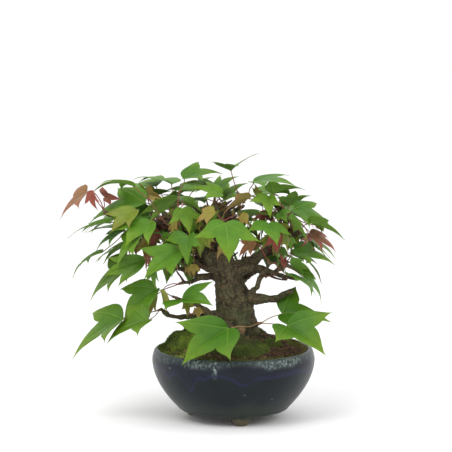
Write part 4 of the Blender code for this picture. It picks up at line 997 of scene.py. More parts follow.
@dataclass
class Moss:
    """The moss cushions: a soft displaced body under a pile of fine upright sprigs."""

    nodes: dict[str, bpy.types.Object]
    axis: Vector
    seed: int = 23
    sprigs_per_area: float = 7.6e6
    sprig_height: float = 0.0021
    most_sprigs: int = 17000

    def names(self) -> list[str]:
        """The frame's moss nodes."""
        return sorted(name for name in self.nodes if name.startswith("moss"))

    def tree(self) -> BVHTree:
        """All cushions as one tree for rays."""
        points, faces = [], []
        for name in self.names():
            bm = merged_copy(self.nodes[name])
            offset = len(points)
            points += [vert.co.copy() for vert in bm.verts]
            faces += [tuple(vert.index + offset for vert in face.verts) for face in bm.faces]
            bm.free()
        return BVHTree.FromPolygons(points, faces)

    def cushion(self, name: str, material: bpy.types.Material) -> bpy.types.Object:
        """The body of one cushion, subdivided and made lumpy."""
        bm = merged_copy(self.nodes[name])
        bmesh.ops.subdivide_edges(bm, edges=bm.edges, cuts=2, use_grid_fill=True, smooth=0.6)
        bmesh.ops.recalc_face_normals(bm, faces=bm.faces)
        bm.normal_update()
        for vert in bm.verts:
            lump = noise.fractal(vert.co * 210, 0.8, 2.0, 3) * 0.0005 + noise.noise(vert.co * 95) * 0.0014
            vert.co += vert.normal * lump - Vector((0, 0, 0.0014))
        cushion = add_piece(f"{name}_cushion", bm, [material])
        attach(cushion, "root")
        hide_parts(name)
        return cushion

    def sprigs(self, name: str, cushion: bpy.types.Object, material: bpy.types.Material) -> bpy.types.Object:
        """Fine pointed sprigs over a cushion's upper side.

        Args:
            name: The cushion's name.
            cushion: Its object, which the sprigs grow from.
            material: Their material.

        Returns:
            The sprigs as one object.
        """
        draw = random.Random(self.seed + len(name))
        mesh = cushion.data
        faces = [face for face in mesh.polygons if face.normal.z > 0.02]
        areas = np.array([face.area for face in faces])
        count = min(self.most_sprigs, int(areas.sum() * self.sprigs_per_area))
        picker = np.random.default_rng(self.seed)
        picks = picker.choice(len(faces), size=count, p=areas / areas.sum())
        places, tones = [], []
        for pick in picks:
            face = faces[pick]
            corners = [mesh.vertices[index].co for index in face.vertices]
            a, b = draw.random(), draw.random()
            if a + b > 1:
                a, b = 1 - a, 1 - b
            spot = corners[0] + (corners[1] - corners[0]) * a + (corners[2] - corners[0]) * b
            lean = Vector((draw.gauss(0, 0.55), draw.gauss(0, 0.55), 0.35)) + face.normal * 0.8
            tuft = 0.5 + 0.5 * noise.noise(spot * 170)
            height = self.sprig_height * draw.uniform(0.5, 1.2) * (0.45 + 1.1 * tuft)
            width = height * draw.uniform(0.5, 0.85) + 0.00025
            turn = lean.to_track_quat("Z", "Y").to_matrix().to_4x4()
            places.append(Matrix.Translation(spot - face.normal * 0.0003) @ turn @ Matrix.Diagonal((width, width, height, 1)))
            tones.append(moss_tone(spot - self.axis, draw, 0.12))
        piece = repeated(f"{name}_sprigs", sprig_template(), places, tones)
        piece.data.materials.append(material)
        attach(piece, "root")
        return piece

    @staticmethod
    def tips() -> bpy.types.Material:
        """The sprigs' finish."""
        return ToneFinish("moss_sprig", 0.85, rgb("1C240A"), 0.35, 700.0, 0.0002).make()

    def build(self, tips: bpy.types.Material) -> None:
        """Grows every cushion."""
        body = GroundFinish("moss_bed", rgb("171C0C"), rgb("303C14"), rgb("4A581E"), 130.0).make()
        for name in self.names():
            cushion = self.cushion(name, body)
            sprigs = self.sprigs(name, cushion, tips)
            LOG.info("%s: %d sprig faces", name, len(sprigs.data.polygons))


# ------------------------------------------------------------------ wood

@dataclass
class Wood:
    """Trunk and limbs: the frame's wood melted together, then carved with bark."""

    node: bpy.types.Object
    ground: float
    axis: Vector
    voxel: float = 0.00062
    swell_scars: tuple[tuple[float, float, float, float], ...] = (
        (0.0125, -0.012, 0.0905, 0.0034), (0.0185, -0.006, 0.0925, 0.0036), (0.0060, -0.0165, 0.0745, 0.0026),
        (-0.009, -0.0115, 0.1005, 0.0030), (-0.012, 0.010, 0.085, 0.0040), (0.012, 0.007, 0.099, 0.0035),
        (0.0065, -0.0160, 0.0690, 0.0034), (-0.0125, -0.0080, 0.0690, 0.0045))

    hollows: tuple[tuple[float, float, float, float], ...] = (
        (0.0110, -0.0140, 0.0675, 0.0030), (0.0015, -0.0170, 0.0655, 0.0024), (-0.0095, -0.0135, 0.0790, 0.0022),
        (0.0030, -0.0165, 0.1010, 0.0018))

    def remeshed(self) -> bpy.types.Object:
        """A copy of the frame's wood with its joints melted into one skin."""
        bm = merged_copy(self.node)
        piece = add_piece("maple_wood", bm, [])
        melt = piece.modifiers.new("melt", "REMESH")
        melt.mode = "VOXEL"
        melt.voxel_size = self.voxel
        applied(piece)
        return piece

    def carve(self, piece: bpy.types.Object) -> None:
        """Smooths the skin, then raises ridges, rings and knobs along its normals."""
        bm = bmesh.new()
        bm.from_mesh(piece.data)
        for _ in range(5):
            bmesh.ops.smooth_vert(bm, verts=bm.verts, factor=0.5, use_axis_x=True, use_axis_y=True, use_axis_z=True)
        bm.normal_update()
        relief = bm.verts.layers.float.new("relief")
        scar = bm.verts.layers.float.new("scar")
        scars = [(self.axis + Vector(spot[:3]), spot[3]) for spot in self.swell_scars]
        hollows = [(self.axis + Vector(spot[:3]), spot[3]) for spot in self.hollows]
        for vert in bm.verts:
            co = vert.co
            from_axis = math.hypot(co.x - self.axis.x, co.y - self.axis.y)
            on_trunk = smoothstep(0.021, 0.0165, from_axis) * smoothstep(0.118, 0.105, co.z)
            plates = noise.fractal(Vector((co.x * 290, co.y * 290, co.z * 210)), 0.9, 2.1, 3)
            rings = noise.noise(Vector((co.x * 60, co.y * 60, co.z * 420)))
            bulges = noise.noise(co * 95)
            fine = noise.fractal(co * 900, 0.8, 2.0, 2)
            amount = 0.00042 + 0.00055 * on_trunk
            knots = noise.noise(co * 170 + Vector((5, 2, 8))) * (1 - on_trunk)
            lift = plates * amount + rings * (0.00022 + 0.0003 * on_trunk) + bulges * (0.0004 + 0.0012 * on_trunk)
            lift += fine * 0.00012 + max(0.0, knots) * 0.0016
            knob = 0.0
            for spot, size in scars:
                near = math.exp(-((co - spot).length / size) ** 2)
                knob = max(knob, near)
                lift += near * 0.0011
            sunk = max(math.exp(-((co - spot).length / size) ** 2) for spot, size in hollows)
            vert.co = co + vert.normal * (lift - 0.0014 * sunk)
            # relief is lowered in the sunk hollows; the bark's finish paints shade where it is low
            vert[relief] = min(1.0, max(0.0, 0.5 + plates * 0.42 + fine * 0.2 - 0.6 * sunk))
            vert[scar] = min(1.0, knob * 1.2)
        bm.to_mesh(piece.data)
        bm.free()
        piece.data.shade_smooth()

    def build(self) -> bpy.types.Object:
        """Makes the wood and gives it its bark."""
        piece = self.remeshed()
        self.carve(piece)
        piece.data.materials.append(BarkFinish(self.axis, self.ground).make())
        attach(piece, "root")
        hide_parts("wood")
        return piece


# ------------------------------------------------------------------ leaves

class LeafTone(Enum):
    """The colourings that the tree's leaves have."""

    GREEN = "leaf_green"
    DARK = "leaf_dark"
    OLIVE = "leaf_olive"
    RED = "leaf_red"


@dataclass(frozen=True)
class Palette:
    """The colours of one kind of leaf, from its heart to its tips."""

    heart: tuple[str, ...]
    tip: str
    stalk: str
    spread: float

    def hearts(self) -> list[Colour]:
        """The heart colours, linear."""
        return [rgb(code) for code in self.heart]


PALETTES = {
    LeafTone.GREEN: Palette(("4A7217", "437016", "587C1B", "48761C", "528019"), "8AA01E", "8A6244", 0.6),
    LeafTone.DARK: Palette(("56801E", "4A7A1A", "628A20", "568220"), "80981F", "845C3C", 0.6),
    LeafTone.OLIVE: Palette(("7E8A2C", "94863A", "72862A", "9A8444"), "A66A4A", "96584A", 0.7),
    LeafTone.RED: Palette(("93483E", "8C3F3C", "9A6446", "8A4A3C"), "A4564A", "94403A", 0.8),
}


@dataclass(frozen=True)
class Marks:
    """What the frame's solid says about one leaf."""

    junction: Vector
    tips: tuple[Vector, Vector, Vector]
    stalk: tuple[Vector, ...]

    @property
    def size(self) -> float:
        """The length of the middle lobe."""
        return (self.tips[1] - self.junction).length

    def upper(self) -> Vector:
        """The way the leaf's upper side faces."""
        ribs = [tip - self.junction for tip in self.tips]
        face = (ribs[1].cross(ribs[2]) + ribs[0].cross(ribs[1])).normalized()
        return face


class LeafReader:
    """Finds the leaves in a shoot's solid from the few lengths that every leaf solid has."""

    BLADE = 0.0005
    BUD = 0.0019
    RINGS = 3
    EDGE_POINTS = 13

    def __init__(self, node: bpy.types.Object) -> None:
        """Merges the solid and pairs up the two sides of its blades."""
        self.name = node.name
        self.bm = merged_copy(node)
        self.tree = kdtree.KDTree(len(self.bm.verts))
        for vert in self.bm.verts:
            self.tree.insert(vert.co, vert.index)
        self.tree.balance()
        self.partner = self.pairs(self.BLADE, 0.00002)
        self.bud = self.bud_centre()

    def pairs(self, length: float, slack: float) -> dict[int, int]:
        """Vertices that stand one blade's thickness apart."""
        found = {}
        for vert in self.bm.verts:
            near = [(abs(distance - length), index) for _, index, distance in
                    self.tree.find_range(vert.co, length + slack) if distance > length - slack]
            if near:
                found[vert.index] = min(near)[1]
        return {one: other for one, other in found.items() if found.get(other) == one}

    def bud_centre(self) -> Vector:
        """The middle of the block that the stalks grow from."""
        corners = []
        for vert in self.bm.verts:
            near = [distance for _, _, distance in self.tree.find_range(vert.co, self.BUD + 0.00003)
                    if distance > self.BUD - 0.00003]
            if len(near) >= 3 and vert.index not in self.partner:
                corners.append(vert.co)
        return sum(corners, Vector()) / len(corners)

    def sheets(self) -> list[set[bmesh.types.BMFace]]:
        """The two skins of each blade, as sets of faces."""
        flat = set()
        for face in self.bm.faces:
            ids = {vert.index for vert in face.verts}
            if ids <= self.partner.keys() and not any(self.partner[one] in ids for one in ids):
                flat.add(face)
        groups = []
        while flat:
            stack = [flat.pop()]
            group = set(stack)
            while stack:
                face = stack.pop()
                for edge in face.edges:
                    for other in edge.link_faces:
                        if other in flat:
                            flat.discard(other)
                            group.add(other)
                            stack.append(other)
            groups.append(group)
        return groups

    def outline(self, sheet: set[bmesh.types.BMFace]) -> list[int]:
        """A skin's edge, in order from one side of the stalk round to the other."""
        links: dict[int, list[int]] = {}
        base = None
        for face in sheet:
            for edge in face.edges:
                if sum(other in sheet for other in edge.link_faces) == 1:
                    a, b = (vert.index for vert in edge.verts)
                    links.setdefault(a, []).append(b)
                    links.setdefault(b, []).append(a)
                    if all(self.on_stalk(vert) for vert in edge.verts):
                        base = (a, b)
        walk = [base[0]]
        last = base[1]
        while True:
            ahead = [index for index in links[walk[-1]] if index != last]
            last = walk[-1]
            if ahead[0] == base[1]:
                return walk + [base[1]]
            walk.append(ahead[0])

    def on_stalk(self, vert: bmesh.types.BMVert) -> bool:
        """Whether a blade's vertex also bounds the stalk."""
        return any(other.index not in self.partner for edge in vert.link_edges for other in edge.verts)

    def middle(self, index: int) -> Vector:
        """The point halfway through the blade at a vertex."""
        return (self.bm.verts[index].co + self.bm.verts[self.partner[index]].co) / 2

    def stalk(self, base: Iterable[int]) -> tuple[Vector, ...]:
        """The stalk's centreline from the blade's base to the bud."""
        ring = {self.bm.verts[index] for index in base}
        seen = set(ring)
        path = []
        for _ in range(self.RINGS + 1):
            ring = {other for vert in ring for edge in vert.link_edges for other in edge.verts
                    if other not in seen and other.index not in self.partner}
            seen |= ring
            path.append(sum((vert.co for vert in ring), Vector()) / len(ring))
        return (*path, self.bud)

    def read(self) -> list[Marks]:
        """Every leaf on the shoot."""
        leaves = []
        taken: set[int] = set()
        for sheet in self.sheets():
            edge = self.outline(sheet)
            if edge[0] in taken:
                continue
            taken |= {self.partner[index] for index in edge} | set(edge)
            if len(edge) != self.EDGE_POINTS:
                LOG.warning("%s: a blade's edge has %d points", self.name, len(edge))
            half = len(edge) // 2
            tips = tuple(self.middle(edge[index]) for index in (half // 2, half, len(edge) - 1 - half // 2))
            junction = (self.middle(edge[0]) + self.middle(edge[-1])) / 2
            ends = (edge[0], edge[-1], self.partner[edge[0]], self.partner[edge[-1]])
            marks = Marks(junction, tips, (junction, *self.stalk(ends)))
            outward = Vector((0.004 * junction.x * 1000, 0.01 * junction.y * 1000, 1.0))
            if marks.upper().dot(outward) < 0:
                marks = Marks(junction, tips[::-1], marks.stalk)
            leaves.append(marks)
        self.bm.free()
        return leaves


class LeafPlan:
    """The flat leaf that every blade is bent from, one unit long, with its stalk at the origin."""

    LOBE_SPREAD = 50.0
    SIDE_SHARE = 0.88
    UV_NAME = "leaf_plan"
    UV_SPAN = 1.6
    UV_BACK = 0.3
    ROWS = (0.05, 0.12, 0.21, 0.31, 0.42, 0.53, 0.64, 0.75, 0.86, 0.94, 1.0)
    FEW_ROWS = (0.10, 0.32, 0.55, 0.78, 1.0)

    def __init__(self, draw: random.Random, fine: int = 3) -> None:
        """Draws this leaf's own small departures from the pattern.

        Args:
            draw: The source of chance.
            fine: How finely the edge is drawn, from 1.
        """
        self.fine = fine
        self.rows = self.ROWS if fine > 1 else self.FEW_ROWS
        self.notch = 0.43 + draw.uniform(-0.05, 0.05)
        self.full = draw.uniform(0.86, 1.08)
        self.teeth = draw.uniform(0.003, 0.010)
        self.phase = draw.uniform(0, math.tau)

    def side_tip(self) -> tuple[float, float]:
        """The tip of the side lobe at +v."""
        turn = math.radians(self.LOBE_SPREAD)
        return self.SIDE_SHARE * math.cos(turn), self.SIDE_SHARE * math.sin(turn)

    @staticmethod
    def bezier(points: Sequence[tuple[float, float]], steps: int) -> list[tuple[float, float]]:
        """Points along a cubic curve, without its last one."""
        a, b, c, d = (np.array(point) for point in points)
        curve = []
        for step in range(steps):
            t = step / steps
            s = 1 - t
            curve.append(tuple(s ** 3 * a + 3 * s * s * t * b + 3 * s * t * t * c + t ** 3 * d))
        return curve

    def half_edge(self) -> list[tuple[float, float]]:
        """The edge from the stalk to the middle lobe's tip, on the +v side."""
        tip = self.side_tip()
        full, fine = self.full, self.fine
        shoulder = (0.13, 0.405 * full)
        notch = (self.notch, 0.235)
        curves = ((((-0.012, 0.018), (-0.075, 0.13), (-0.035, 0.31 * full), shoulder), 3),
                  ((shoulder, (0.235, 0.465 * full), (0.425, 0.528), tip), 3),
                  ((tip, (0.462, 0.526), (0.565, 0.39), notch), 3),
                  ((notch, (self.notch + 0.18, 0.255 * full), (0.83, 0.022), (1.0, 0.0)), 4))
        edge = []
        for points, steps in curves:
            edge += self.bezier(points, steps * fine)
        rough = []
        for index, (u, v) in enumerate(edge):
            bite = self.teeth * math.sin(index * 6.3 / fine + self.phase) if 0 < index < len(edge) - 1 else 0.0
            rough.append((u * (1 + bite), v * (1 + bite)))
        return rough

    def edge(self) -> list[tuple[float, float]]:
        """The whole edge, from one side of the stalk to the other."""
        half = self.half_edge()
        return half + [(1.0, 0.0)] + [(u, -v) for u, v in reversed(half)]


@dataclass
class Blade:
    """One leaf blade: the plan, bent to the solid's three lobes and given life."""

    marks: Marks
    plan: LeafPlan
    draw: random.Random
    palette: Palette
    young: bool = False
    arch: float = 0.10
    thickness: float = 0.00026

    def __post_init__(self) -> None:
        """Draws how this blade folds, curls and waves."""
        draw = self.draw
        self.upper = self.marks.upper()
        self.fold = draw.uniform(-0.16, 0.05) - (0.25 if self.young else 0.0)
        self.curl = draw.uniform(0.04, 0.30)
        self.wave = draw.uniform(0.006, 0.018)
        self.turn = draw.uniform(0, math.tau)
        self.ribs = [tip - self.marks.junction for tip in self.marks.tips]
        heart = draw.choice(self.palette.hearts())
        self.heart = blend(heart, rgb("2E5A10"), draw.uniform(0, 0.3))
        self.tip = blend(heart, rgb(self.palette.tip), draw.uniform(0.3, 1.0) * self.palette.spread)

    def rib_distance(self, u: float, v: float) -> float:
        """How far a point of the plan is from the nearest of the three ribs."""
        turn = math.radians(LeafPlan.LOBE_SPREAD)
        beside = abs(abs(v) * math.cos(turn) - u * math.sin(turn))
        along = u * math.cos(turn) + abs(v) * math.sin(turn)
        return min(abs(v), beside if along > 0 else math.hypot(u, v))

    def place(self, u: float, v: float) -> Vector:
        """A point of the plan, on the bent blade."""
        tip_u, tip_v = self.plan.side_tip()
        side = self.ribs[2] if v > 0 else self.ribs[0]
        along_side = abs(v) / tip_v
        along_middle = u - along_side * tip_u
        size = self.marks.size
        reach = math.hypot(u, v)
        rise = self.arch * 4 * reach * max(0.0, 1.0 - reach / 0.95)
        away = self.rib_distance(u, v)
        rise += self.fold * away * min(1.0, reach * 2)
        rise -= 0.010 * math.exp(-(away / 0.018) ** 2) * smoothstep(1.0, 0.5, reach)
        rise += self.wave * math.sin(9 * math.atan2(v, u + 0.2) + self.turn) * reach ** 2
        rise -= self.curl * max(0.0, reach - 0.62) ** 2 * 2.2
        return self.marks.junction + self.ribs[1] * along_middle + side * along_side + self.upper * (rise * size)

    def add_to(self, bm: bmesh.types.BMesh) -> None:
        """Grows the blade outwards from its stalk, row by row, and gives it its thickness.

        Args:
            bm: The shoot's mesh, which has the layers "tone", "under" and the plan's UV map.
        """
        tone = bm.verts.layers.float_color["tone"]
        under = bm.verts.layers.float["under"]
        chart = bm.loops.layers.uv[LeafPlan.UV_NAME]
        edge = self.plan.edge()
        ring = bmesh.ops.create_circle(bm, segments=len(edge), radius=1.0, cap_ends=True)["verts"]
        faces = [ring[0].link_faces[0]]
        edges = [found for found in faces[0].edges if not (ring[0] in found.verts and ring[-1] in found.verts)]
        flat: dict[bmesh.types.BMVert, tuple[float, float]] = {}
        for index, share in enumerate(self.plan.rows):
            if index:
                ring, edges, fresh = grow_ring(bm, ring, edges)
                faces += fresh
            for vert, (u, v) in zip(ring, edge):
                vert.co = self.place(u * share, v * share)
                flat[vert] = (u * share, v * share)
        for vert, (u, v) in flat.items():
            reach = math.hypot(u, v)
            share = smoothstep(0.25, 1.0, reach) * 0.8
            vert[tone] = (*blend(self.heart, self.tip, share), 1.0)
        for face in faces:
            face.normal_update()
        if sum((face.normal for face in faces), Vector()).dot(self.upper) < 0:
            bmesh.ops.reverse_faces(bm, faces=faces)
        for face in faces:
            for loop in face.loops:
                u, v = flat[loop.vert]
                loop[chart].uv = ((u + LeafPlan.UV_BACK) / LeafPlan.UV_SPAN, v / LeafPlan.UV_SPAN + 0.5)
        grown = bmesh.ops.solidify(bm, geom=faces, thickness=self.thickness)["geom"]
        for item in grown:
            if isinstance(item, bmesh.types.BMVert):
                item[under] = 1.0


@dataclass
class Shoot:
    """One shoot: its bud on the wood, the stalks, and the blades."""

    node: bpy.types.Object
    tone: LeafTone
    wood: BVHTree
    blade_finish: bpy.types.Material
    stalk_finish: bpy.types.Material
    seed: int
    stalk_radius: float = 0.00042
    low_stalks: float = 0.085
    straighter: float = 0.65
    bud_radius: float = 0.00105

    def add_stalk(self, bm: bmesh.types.BMesh, marks: Marks, colour: Colour) -> None:
        """A slender stalk that swells where it meets the bud."""
        tone = bm.verts.layers.float_color["tone"]
        into = marks.junction + (marks.tips[1] - marks.junction) * 0.03
        route = [into, *marks.stalk]
        last = len(route) - 1
        straight = [into.lerp(route[-1], index / last) for index in range(last + 1)]
        path = catmull([point.lerp(line, self.straighter) for point, line in zip(route, straight)], 4)
        count = len(path) - 1
        radii = []
        for index in range(count + 1):
            share = index / count
            radii.append(self.stalk_radius * (0.78 + 0.25 * share + 0.9 * smoothstep(0.86, 1.0, share)))
        for vert in tube_along(bm, path, radii, 7, material=1):
            vert[tone] = (*colour, 1.0)

    def add_bud(self, bm: bmesh.types.BMesh, bud: Vector) -> None:
        """The bud and the bit of twig that ties it to the limb."""
        tone = bm.verts.layers.float_color["tone"]
        near, _, _, distance = self.wood.find_nearest(bud)
        inward = (near - bud).normalized()
        path = [near + inward * 0.0012, near, (near + bud) / 2, bud, bud - inward * 0.0008, bud - inward * 0.0016]
        radii = [self.bud_radius * share for share in (1.35, 1.15, 0.95, 1.0, 0.8, 0.3)]
        for vert in tube_along(bm, catmull(path, 2), np.interp(np.linspace(0, 5, 11), range(6), radii).tolist(), 9,
                               material=1):
            vert[tone] = (*rgb("6B5338"), 1.0)

    def build(self) -> int:
        """Reads the shoot's solid and grows its leaves.

        Returns:
            How many leaves it has.
        """
        draw = random.Random(self.seed)
        palette = PALETTES[self.tone]
        leaves = LeafReader(self.node).read()
        bm = bmesh.new()
        bm.verts.layers.float_color.new("tone")
        bm.verts.layers.float.new("under")
        bm.loops.layers.uv.new(LeafPlan.UV_NAME)
        self.add_bud(bm, leaves[0].stalk[-1])
        for marks in leaves:
            low = marks.junction.z < self.low_stalks
            stalk = blend(rgb("94764A") if low else rgb(palette.stalk), rgb("8A3A30"), draw.uniform(0, 0.15 if low else 0.6))
            self.add_stalk(bm, marks, stalk)
            Blade(marks, LeafPlan(draw), draw, palette).add_to(bm)
        name = self.node.name
        piece = add_piece(f"{name}_grown", bm, [self.blade_finish, self.stalk_finish])
        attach(piece, "root")
        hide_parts(name)
        return len(leaves)


@dataclass
class Crown:
    """All the shoots of the tree."""

    nodes: dict[str, bpy.types.Object]
    slots: dict[str, str]
    wood: BVHTree

    def finishes(self) -> dict[LeafTone, bpy.types.Material]:
        """Each colouring's finish."""
        blades = {
            LeafTone.GREEN: LeafFinish("leaf_green_blade"),
            LeafTone.DARK: LeafFinish("leaf_dark_blade", vein=rgb("6A8C3A")),
            LeafTone.OLIVE: LeafFinish("leaf_olive_blade", vein=rgb("A8945A"), under=rgb("8A7E50")),
            LeafTone.RED: LeafFinish("leaf_red_blade", vein=rgb("B07A60"), under=rgb("966458")),
        }
        return {tone: finish.make() for tone, finish in blades.items()}

    def solids(self) -> BVHTree:
        """Every leaf solid of the frame in one tree."""
        points, faces = [], []
        for name in self.slots:
            bm = merged_copy(self.nodes[name])
            offset = len(points)
            points += [vert.co.copy() for vert in bm.verts]
            faces += [tuple(vert.index + offset for vert in face.verts) for face in bm.faces]
            bm.free()
        return BVHTree.FromPolygons(points, faces)

    def build(self, finishes: dict[LeafTone, bpy.types.Material]) -> None:
        """Grows every shoot."""
        stalk = ToneFinish("leaf_stalk", 0.5, rgb("5A3A2A"), 0.35, 500.0, 0.0001).make()
        total = 0
        for index, name in enumerate(sorted(self.slots)):
            tone = LeafTone.OLIVE if name.endswith("left_flushed") else LeafTone(self.slots[name])
            shoot = Shoot(self.nodes[name], tone, self.wood, finishes[tone], stalk, seed=101 + index)
            total += shoot.build()
        LOG.info("crown: %d leaves on %d shoots", total, len(self.slots))


@dataclass
class YoungGrowth:
    """Fine twigs and small young leaves inside the crown, kept clear of the larger leaves."""

    wood: BVHTree
    limbs: bpy.types.Object
    leaves: BVHTree
    axis: Vector
    room: tuple[Vector, Vector]
    finishes: dict[LeafTone, bpy.types.Material]
    bark: bpy.types.Material
    wanted: int = 105
    bare: int = 90
    seed: int = 5
    lowest: float = 0.112
    lowest_bare: float = 0.086
    highest: float = 0.164
    side_reach: float = 0.082
    clear_width: float = 0.023
    clear_height: float = 0.130
    twig_radius: float = 0.00062

    def starts(self, draw: random.Random, count: int) -> list[tuple[Vector, Vector]]:
        """Places on the limbs, away from the trunk, with the way that the bark faces there."""
        faces = [face for face in self.limbs.data.polygons if face.center.z > self.lowest_bare
                 and math.hypot(face.center.x - self.axis.x, face.center.y - self.axis.y) > 0.012]
        picks = draw.choices(faces, weights=[face.area for face in faces], k=count)
        return [(face.center.copy(), face.normal.copy()) for face in picks]

    def clear(self, spot: Vector, gap: float, bare: bool = False) -> bool:
        """Whether a place is inside the tree's room and clear of the larger leaves."""
        low, high = self.room
        across, height = abs(spot.x - self.axis.x), spot.z
        if any(not low[index] + 0.004 < spot[index] < high[index] - 0.004 for index in range(3)):
            return False
        lowest = self.lowest_bare if bare else self.lowest
        if not lowest - 0.006 < height < self.highest or across > self.side_reach:
            return False
        if across < self.clear_width and height < self.clear_height and spot.y < self.axis.y + 0.012:
            return False
        found = self.leaves.find_nearest(spot, gap)
        return found[0] is None

    def twig(self, draw: random.Random, spot: Vector, way: Vector, length: float) -> list[Vector]:
        """A knobbly path that leaves the bark and turns outwards and up."""
        outward = Vector((spot.x - self.axis.x, spot.y - self.axis.y, 0.0)).normalized()
        heading = (way + outward * 0.6 + Vector((draw.gauss(0, 0.4), draw.gauss(0, 0.4), 0.45))).normalized()
        path = [spot - way * 0.0006]
        for _ in range(4):
            path.append(path[-1] + heading * length / 4)
            heading = (heading + Vector((draw.gauss(0, 0.28), draw.gauss(0, 0.28), draw.gauss(0.08, 0.2)))).normalized()
        return path

    def young_leaf(self, draw: random.Random, base: Vector, heading: Vector, size: float) -> Marks:
        """Where a small leaf's lobes lie, on a short stalk of its own."""
        outward = (Vector((heading.x, heading.y, draw.uniform(-0.7, 0.35))).normalized()
                   + Vector((draw.gauss(0, 0.25), draw.gauss(0, 0.25), draw.gauss(0, 0.15)))).normalized()
        across = outward.cross(Vector((0, 0, 1))).normalized()
        across = (across + Vector((draw.gauss(0, 0.3), draw.gauss(0, 0.3), draw.gauss(0, 0.35)))).normalized()
        across = (across - outward * across.dot(outward)).normalized()
        stalk_end = base + (outward + Vector((0, 0, 0.6))).normalized() * size * draw.uniform(0.3, 0.7)
        turn = math.radians(draw.uniform(34, 50))
        sides = [stalk_end + (outward * math.cos(turn) + across * math.sin(turn) * side) * size * 0.8 for side in (-1, 1)]
        tips = (sides[0], stalk_end + outward * size, sides[1])
        marks = Marks(stalk_end, tips, (stalk_end, (stalk_end * 0.4 + base * 0.6), base))
        return marks if marks.upper().z > 0 else Marks(stalk_end, tips[::-1], marks.stalk)

    def build(self) -> None:
        """Grows the twigs one by one, and keeps those with room for their leaves."""
        draw = random.Random(self.seed)
        twigs = bmesh.new()
        tone = twigs.verts.layers.float_color.new("tone")
        meshes = {}
        for kind in self.finishes:
            bm = bmesh.new()
            bm.verts.layers.float_color.new("tone")
            bm.verts.layers.float.new("under")
            bm.loops.layers.uv.new(LeafPlan.UV_NAME)
            meshes[kind] = bm
        placed: list[Vector] = []
        shoots = leaves = 0
        for spot, way in self.starts(draw, 3400):
            bare = shoots >= self.wanted
            if shoots >= self.wanted + self.bare:
                break
            path = self.twig(draw, spot, way, draw.uniform(0.004, 0.011) if bare else draw.uniform(0.006, 0.022))
            end = path[-1]
            if not all(self.clear(point, 0.0009, bare) for point in path[1:]):
                continue
            grown = []
            if not bare:
                kind = draw.choices(list(LeafTone), weights=(0.36, 0.06, 0.47, 0.11))[0]
                for index in range(draw.choice((1, 2, 2, 3))):
                    turn = Matrix.Rotation(index * 2.3 + draw.uniform(-0.4, 0.4), 3, "Z")
                    marks = self.young_leaf(draw, end, turn @ (end - path[-2]), draw.uniform(0.009, 0.019))
                    middle = sum(marks.tips, marks.junction) / 4
                    spots = (*marks.tips, middle, marks.junction, (marks.tips[1] + middle) / 2)
                    if all(self.clear(point, 0.0014) for point in spots) \
                            and all((middle - other).length > 0.0055 for other in placed):
                        if self.wood.find_nearest(middle)[3] > 0.0022:
                            grown.append(marks)
                            placed.append(middle)
                if not grown:
                    continue
            shoots += 1
            woody = blend(rgb("3E3020"), rgb("6B4030"), draw.random())
            radii = [self.twig_radius * share * draw.uniform(0.9, 1.2) for share in (1.9, 1.35, 1.15, 1.0, 0.75)]
            smooth = catmull(path, 2)
            for vert in tube_along(twigs, smooth, np.interp(np.linspace(0, 4, len(smooth)), range(5), radii).tolist(), 6):
                vert[tone] = (*woody, 1.0)
            for marks in grown:
                red = blend(rgb("7E4A34"), rgb("8E7A3A"), draw.random())
                for vert in tube_along(twigs, catmull(list(marks.stalk), 3), [0.00028] * 7, 5):
                    vert[tone] = (*red, 1.0)
                Blade(marks, LeafPlan(draw, fine=1), draw, PALETTES[kind], young=True).add_to(meshes[kind])
                leaves += 1
        pieces = [(add_piece("young_twigs", twigs, [self.bark]), "bark")]
        for kind, bm in meshes.items():
            pieces.append((add_piece(f"young_{kind.value}", bm, [self.finishes[kind]]), kind.value))
        for piece, slot in pieces:
            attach(piece, "root")
        LOG.info("young growth: %d twigs, %d leaves", shoots, leaves)


# ------------------------------------------------------------------ studio

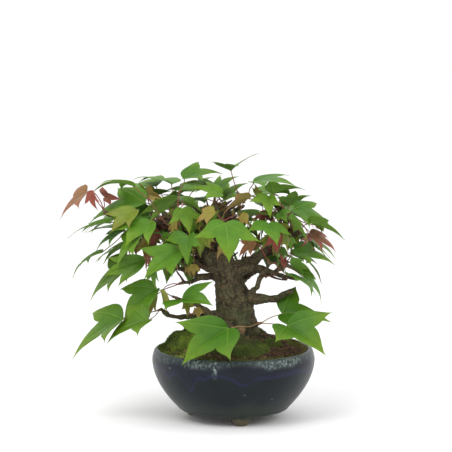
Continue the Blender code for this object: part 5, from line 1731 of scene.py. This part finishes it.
@dataclass
class Studio:
    """A pale floor, soft light all round, and the camera."""

    axis: Vector
    elevation: float = 7.6
    distance: float = 2.2
    view_width: float = 0.3368
    aim: tuple[float, float, float] = (-0.0056, 0.0, 0.1450)
    sensor: float = 36.0

    def add_floor(self) -> None:
        """The pale floor, large enough to reach every edge of the view."""
        bm = bmesh.new()
        bmesh.ops.create_grid(bm, x_segments=1, y_segments=1, size=8.0)
        sketch = Sketch("pale_floor", roughness=0.95)
        sketch.shader.inputs["Specular IOR Level"].default_value = 0.1
        floor = add_piece("floor", bm, [sketch.finish((0.93, 0.93, 0.93))], smooth=False)
        floor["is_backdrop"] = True

    def add_world(self) -> None:
        """Plain white surroundings, shown without a film curve."""
        world = bpy.data.worlds.new("white_room")
        world.use_nodes = True
        background = world.node_tree.nodes["Background"]
        background.inputs["Color"].default_value = (1.0, 1.0, 1.0, 1.0)
        background.inputs["Strength"].default_value = 1.09
        bpy.context.scene.world = world
        bpy.context.scene.view_settings.view_transform = "Standard"

    def add_lamp(self, name: str, place: Sequence[float], size: float, power: float) -> None:
        """A soft square lamp that faces the tree."""
        data = bpy.data.lights.new(name, "AREA")
        data.energy = power
        data.size = size
        lamp = bpy.data.objects.new(name, data)
        lamp.location = self.axis + Vector(place)
        aim = self.axis + Vector((0, 0, 0.1)) - lamp.location
        lamp.rotation_euler = aim.to_track_quat("-Z", "Y").to_euler()
        bpy.context.scene.collection.objects.link(lamp)

    def add_camera(self) -> None:
        """A long lens a little above the pot's rim, in front of the tree."""
        data = bpy.data.cameras.new("camera")
        data.sensor_width = self.sensor
        data.lens = self.sensor * self.distance / self.view_width
        camera = bpy.data.objects.new("camera", data)
        target = self.axis + Vector(self.aim)
        rise = math.radians(self.elevation)
        camera.location = target + Vector((0, -math.cos(rise), math.sin(rise))) * self.distance
        camera.rotation_euler = (target - camera.location).to_track_quat("-Z", "Y").to_euler()
        bpy.context.scene.collection.objects.link(camera)
        bpy.context.scene.camera = camera

    def build(self) -> None:
        """Sets up camera, floor and light."""
        self.add_camera()
        self.add_floor()
        self.add_world()
        self.add_lamp("key_lamp", (-0.5, -0.9, 1.3), 0.7, 9.0)
        self.add_lamp("fill_lamp", (0.9, -0.7, 0.8), 0.9, 3.0)


# ------------------------------------------------------------------ assembly

def leaf_slots(record: dict) -> dict[str, str]:
    """Which leaf slot each shoot's node has, from the record."""
    kinds = {tone.value for tone in LeafTone}
    return {part["node"]: part["material_slot"] for part in record["subparts"] if part["material_slot"] in kinds}


def main() -> None:
    """Builds the plant piece by piece around the frame."""
    logging.basicConfig(level=logging.INFO, format="%(name)s %(message)s")
    for old in list(bpy.data.objects):
        bpy.data.objects.remove(old, do_unlink=True)
    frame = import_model()
    frame_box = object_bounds()
    nodes = frame["nodes"]
    pot = Pot()
    Studio(pot.axis).build()
    pot.build()
    pot.dress_drainage(nodes)
    LOG.info("pot done")
    moss = Moss(nodes, pot.axis)
    sprig = moss.tips()
    ground = Ground(pot)
    soil = ground.build_soil()
    ground.build_crumbs(moss.tree())
    ground.build_carpet(soil, sprig)
    moss.build(sprig)
    bm = merged_copy(nodes["wood"])
    limbs = BVHTree.FromBMesh(bm)
    bm.free()
    wood = Wood(nodes["wood"], ground.peak, pot.axis).build()
    LOG.info("wood: %d faces", len(wood.data.polygons))
    crown = Crown(nodes, leaf_slots(frame["record"]), limbs)
    finishes = crown.finishes()
    crown.build(finishes)
    twig = ToneFinish("twig_bark", 0.85, rgb("1E150C"), 0.6, 700.0, 0.0003).make()
    YoungGrowth(limbs, wood, crown.solids(), pot.axis, frame_box, finishes, twig).build()
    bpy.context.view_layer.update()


if __name__ == "__main__":
    main()
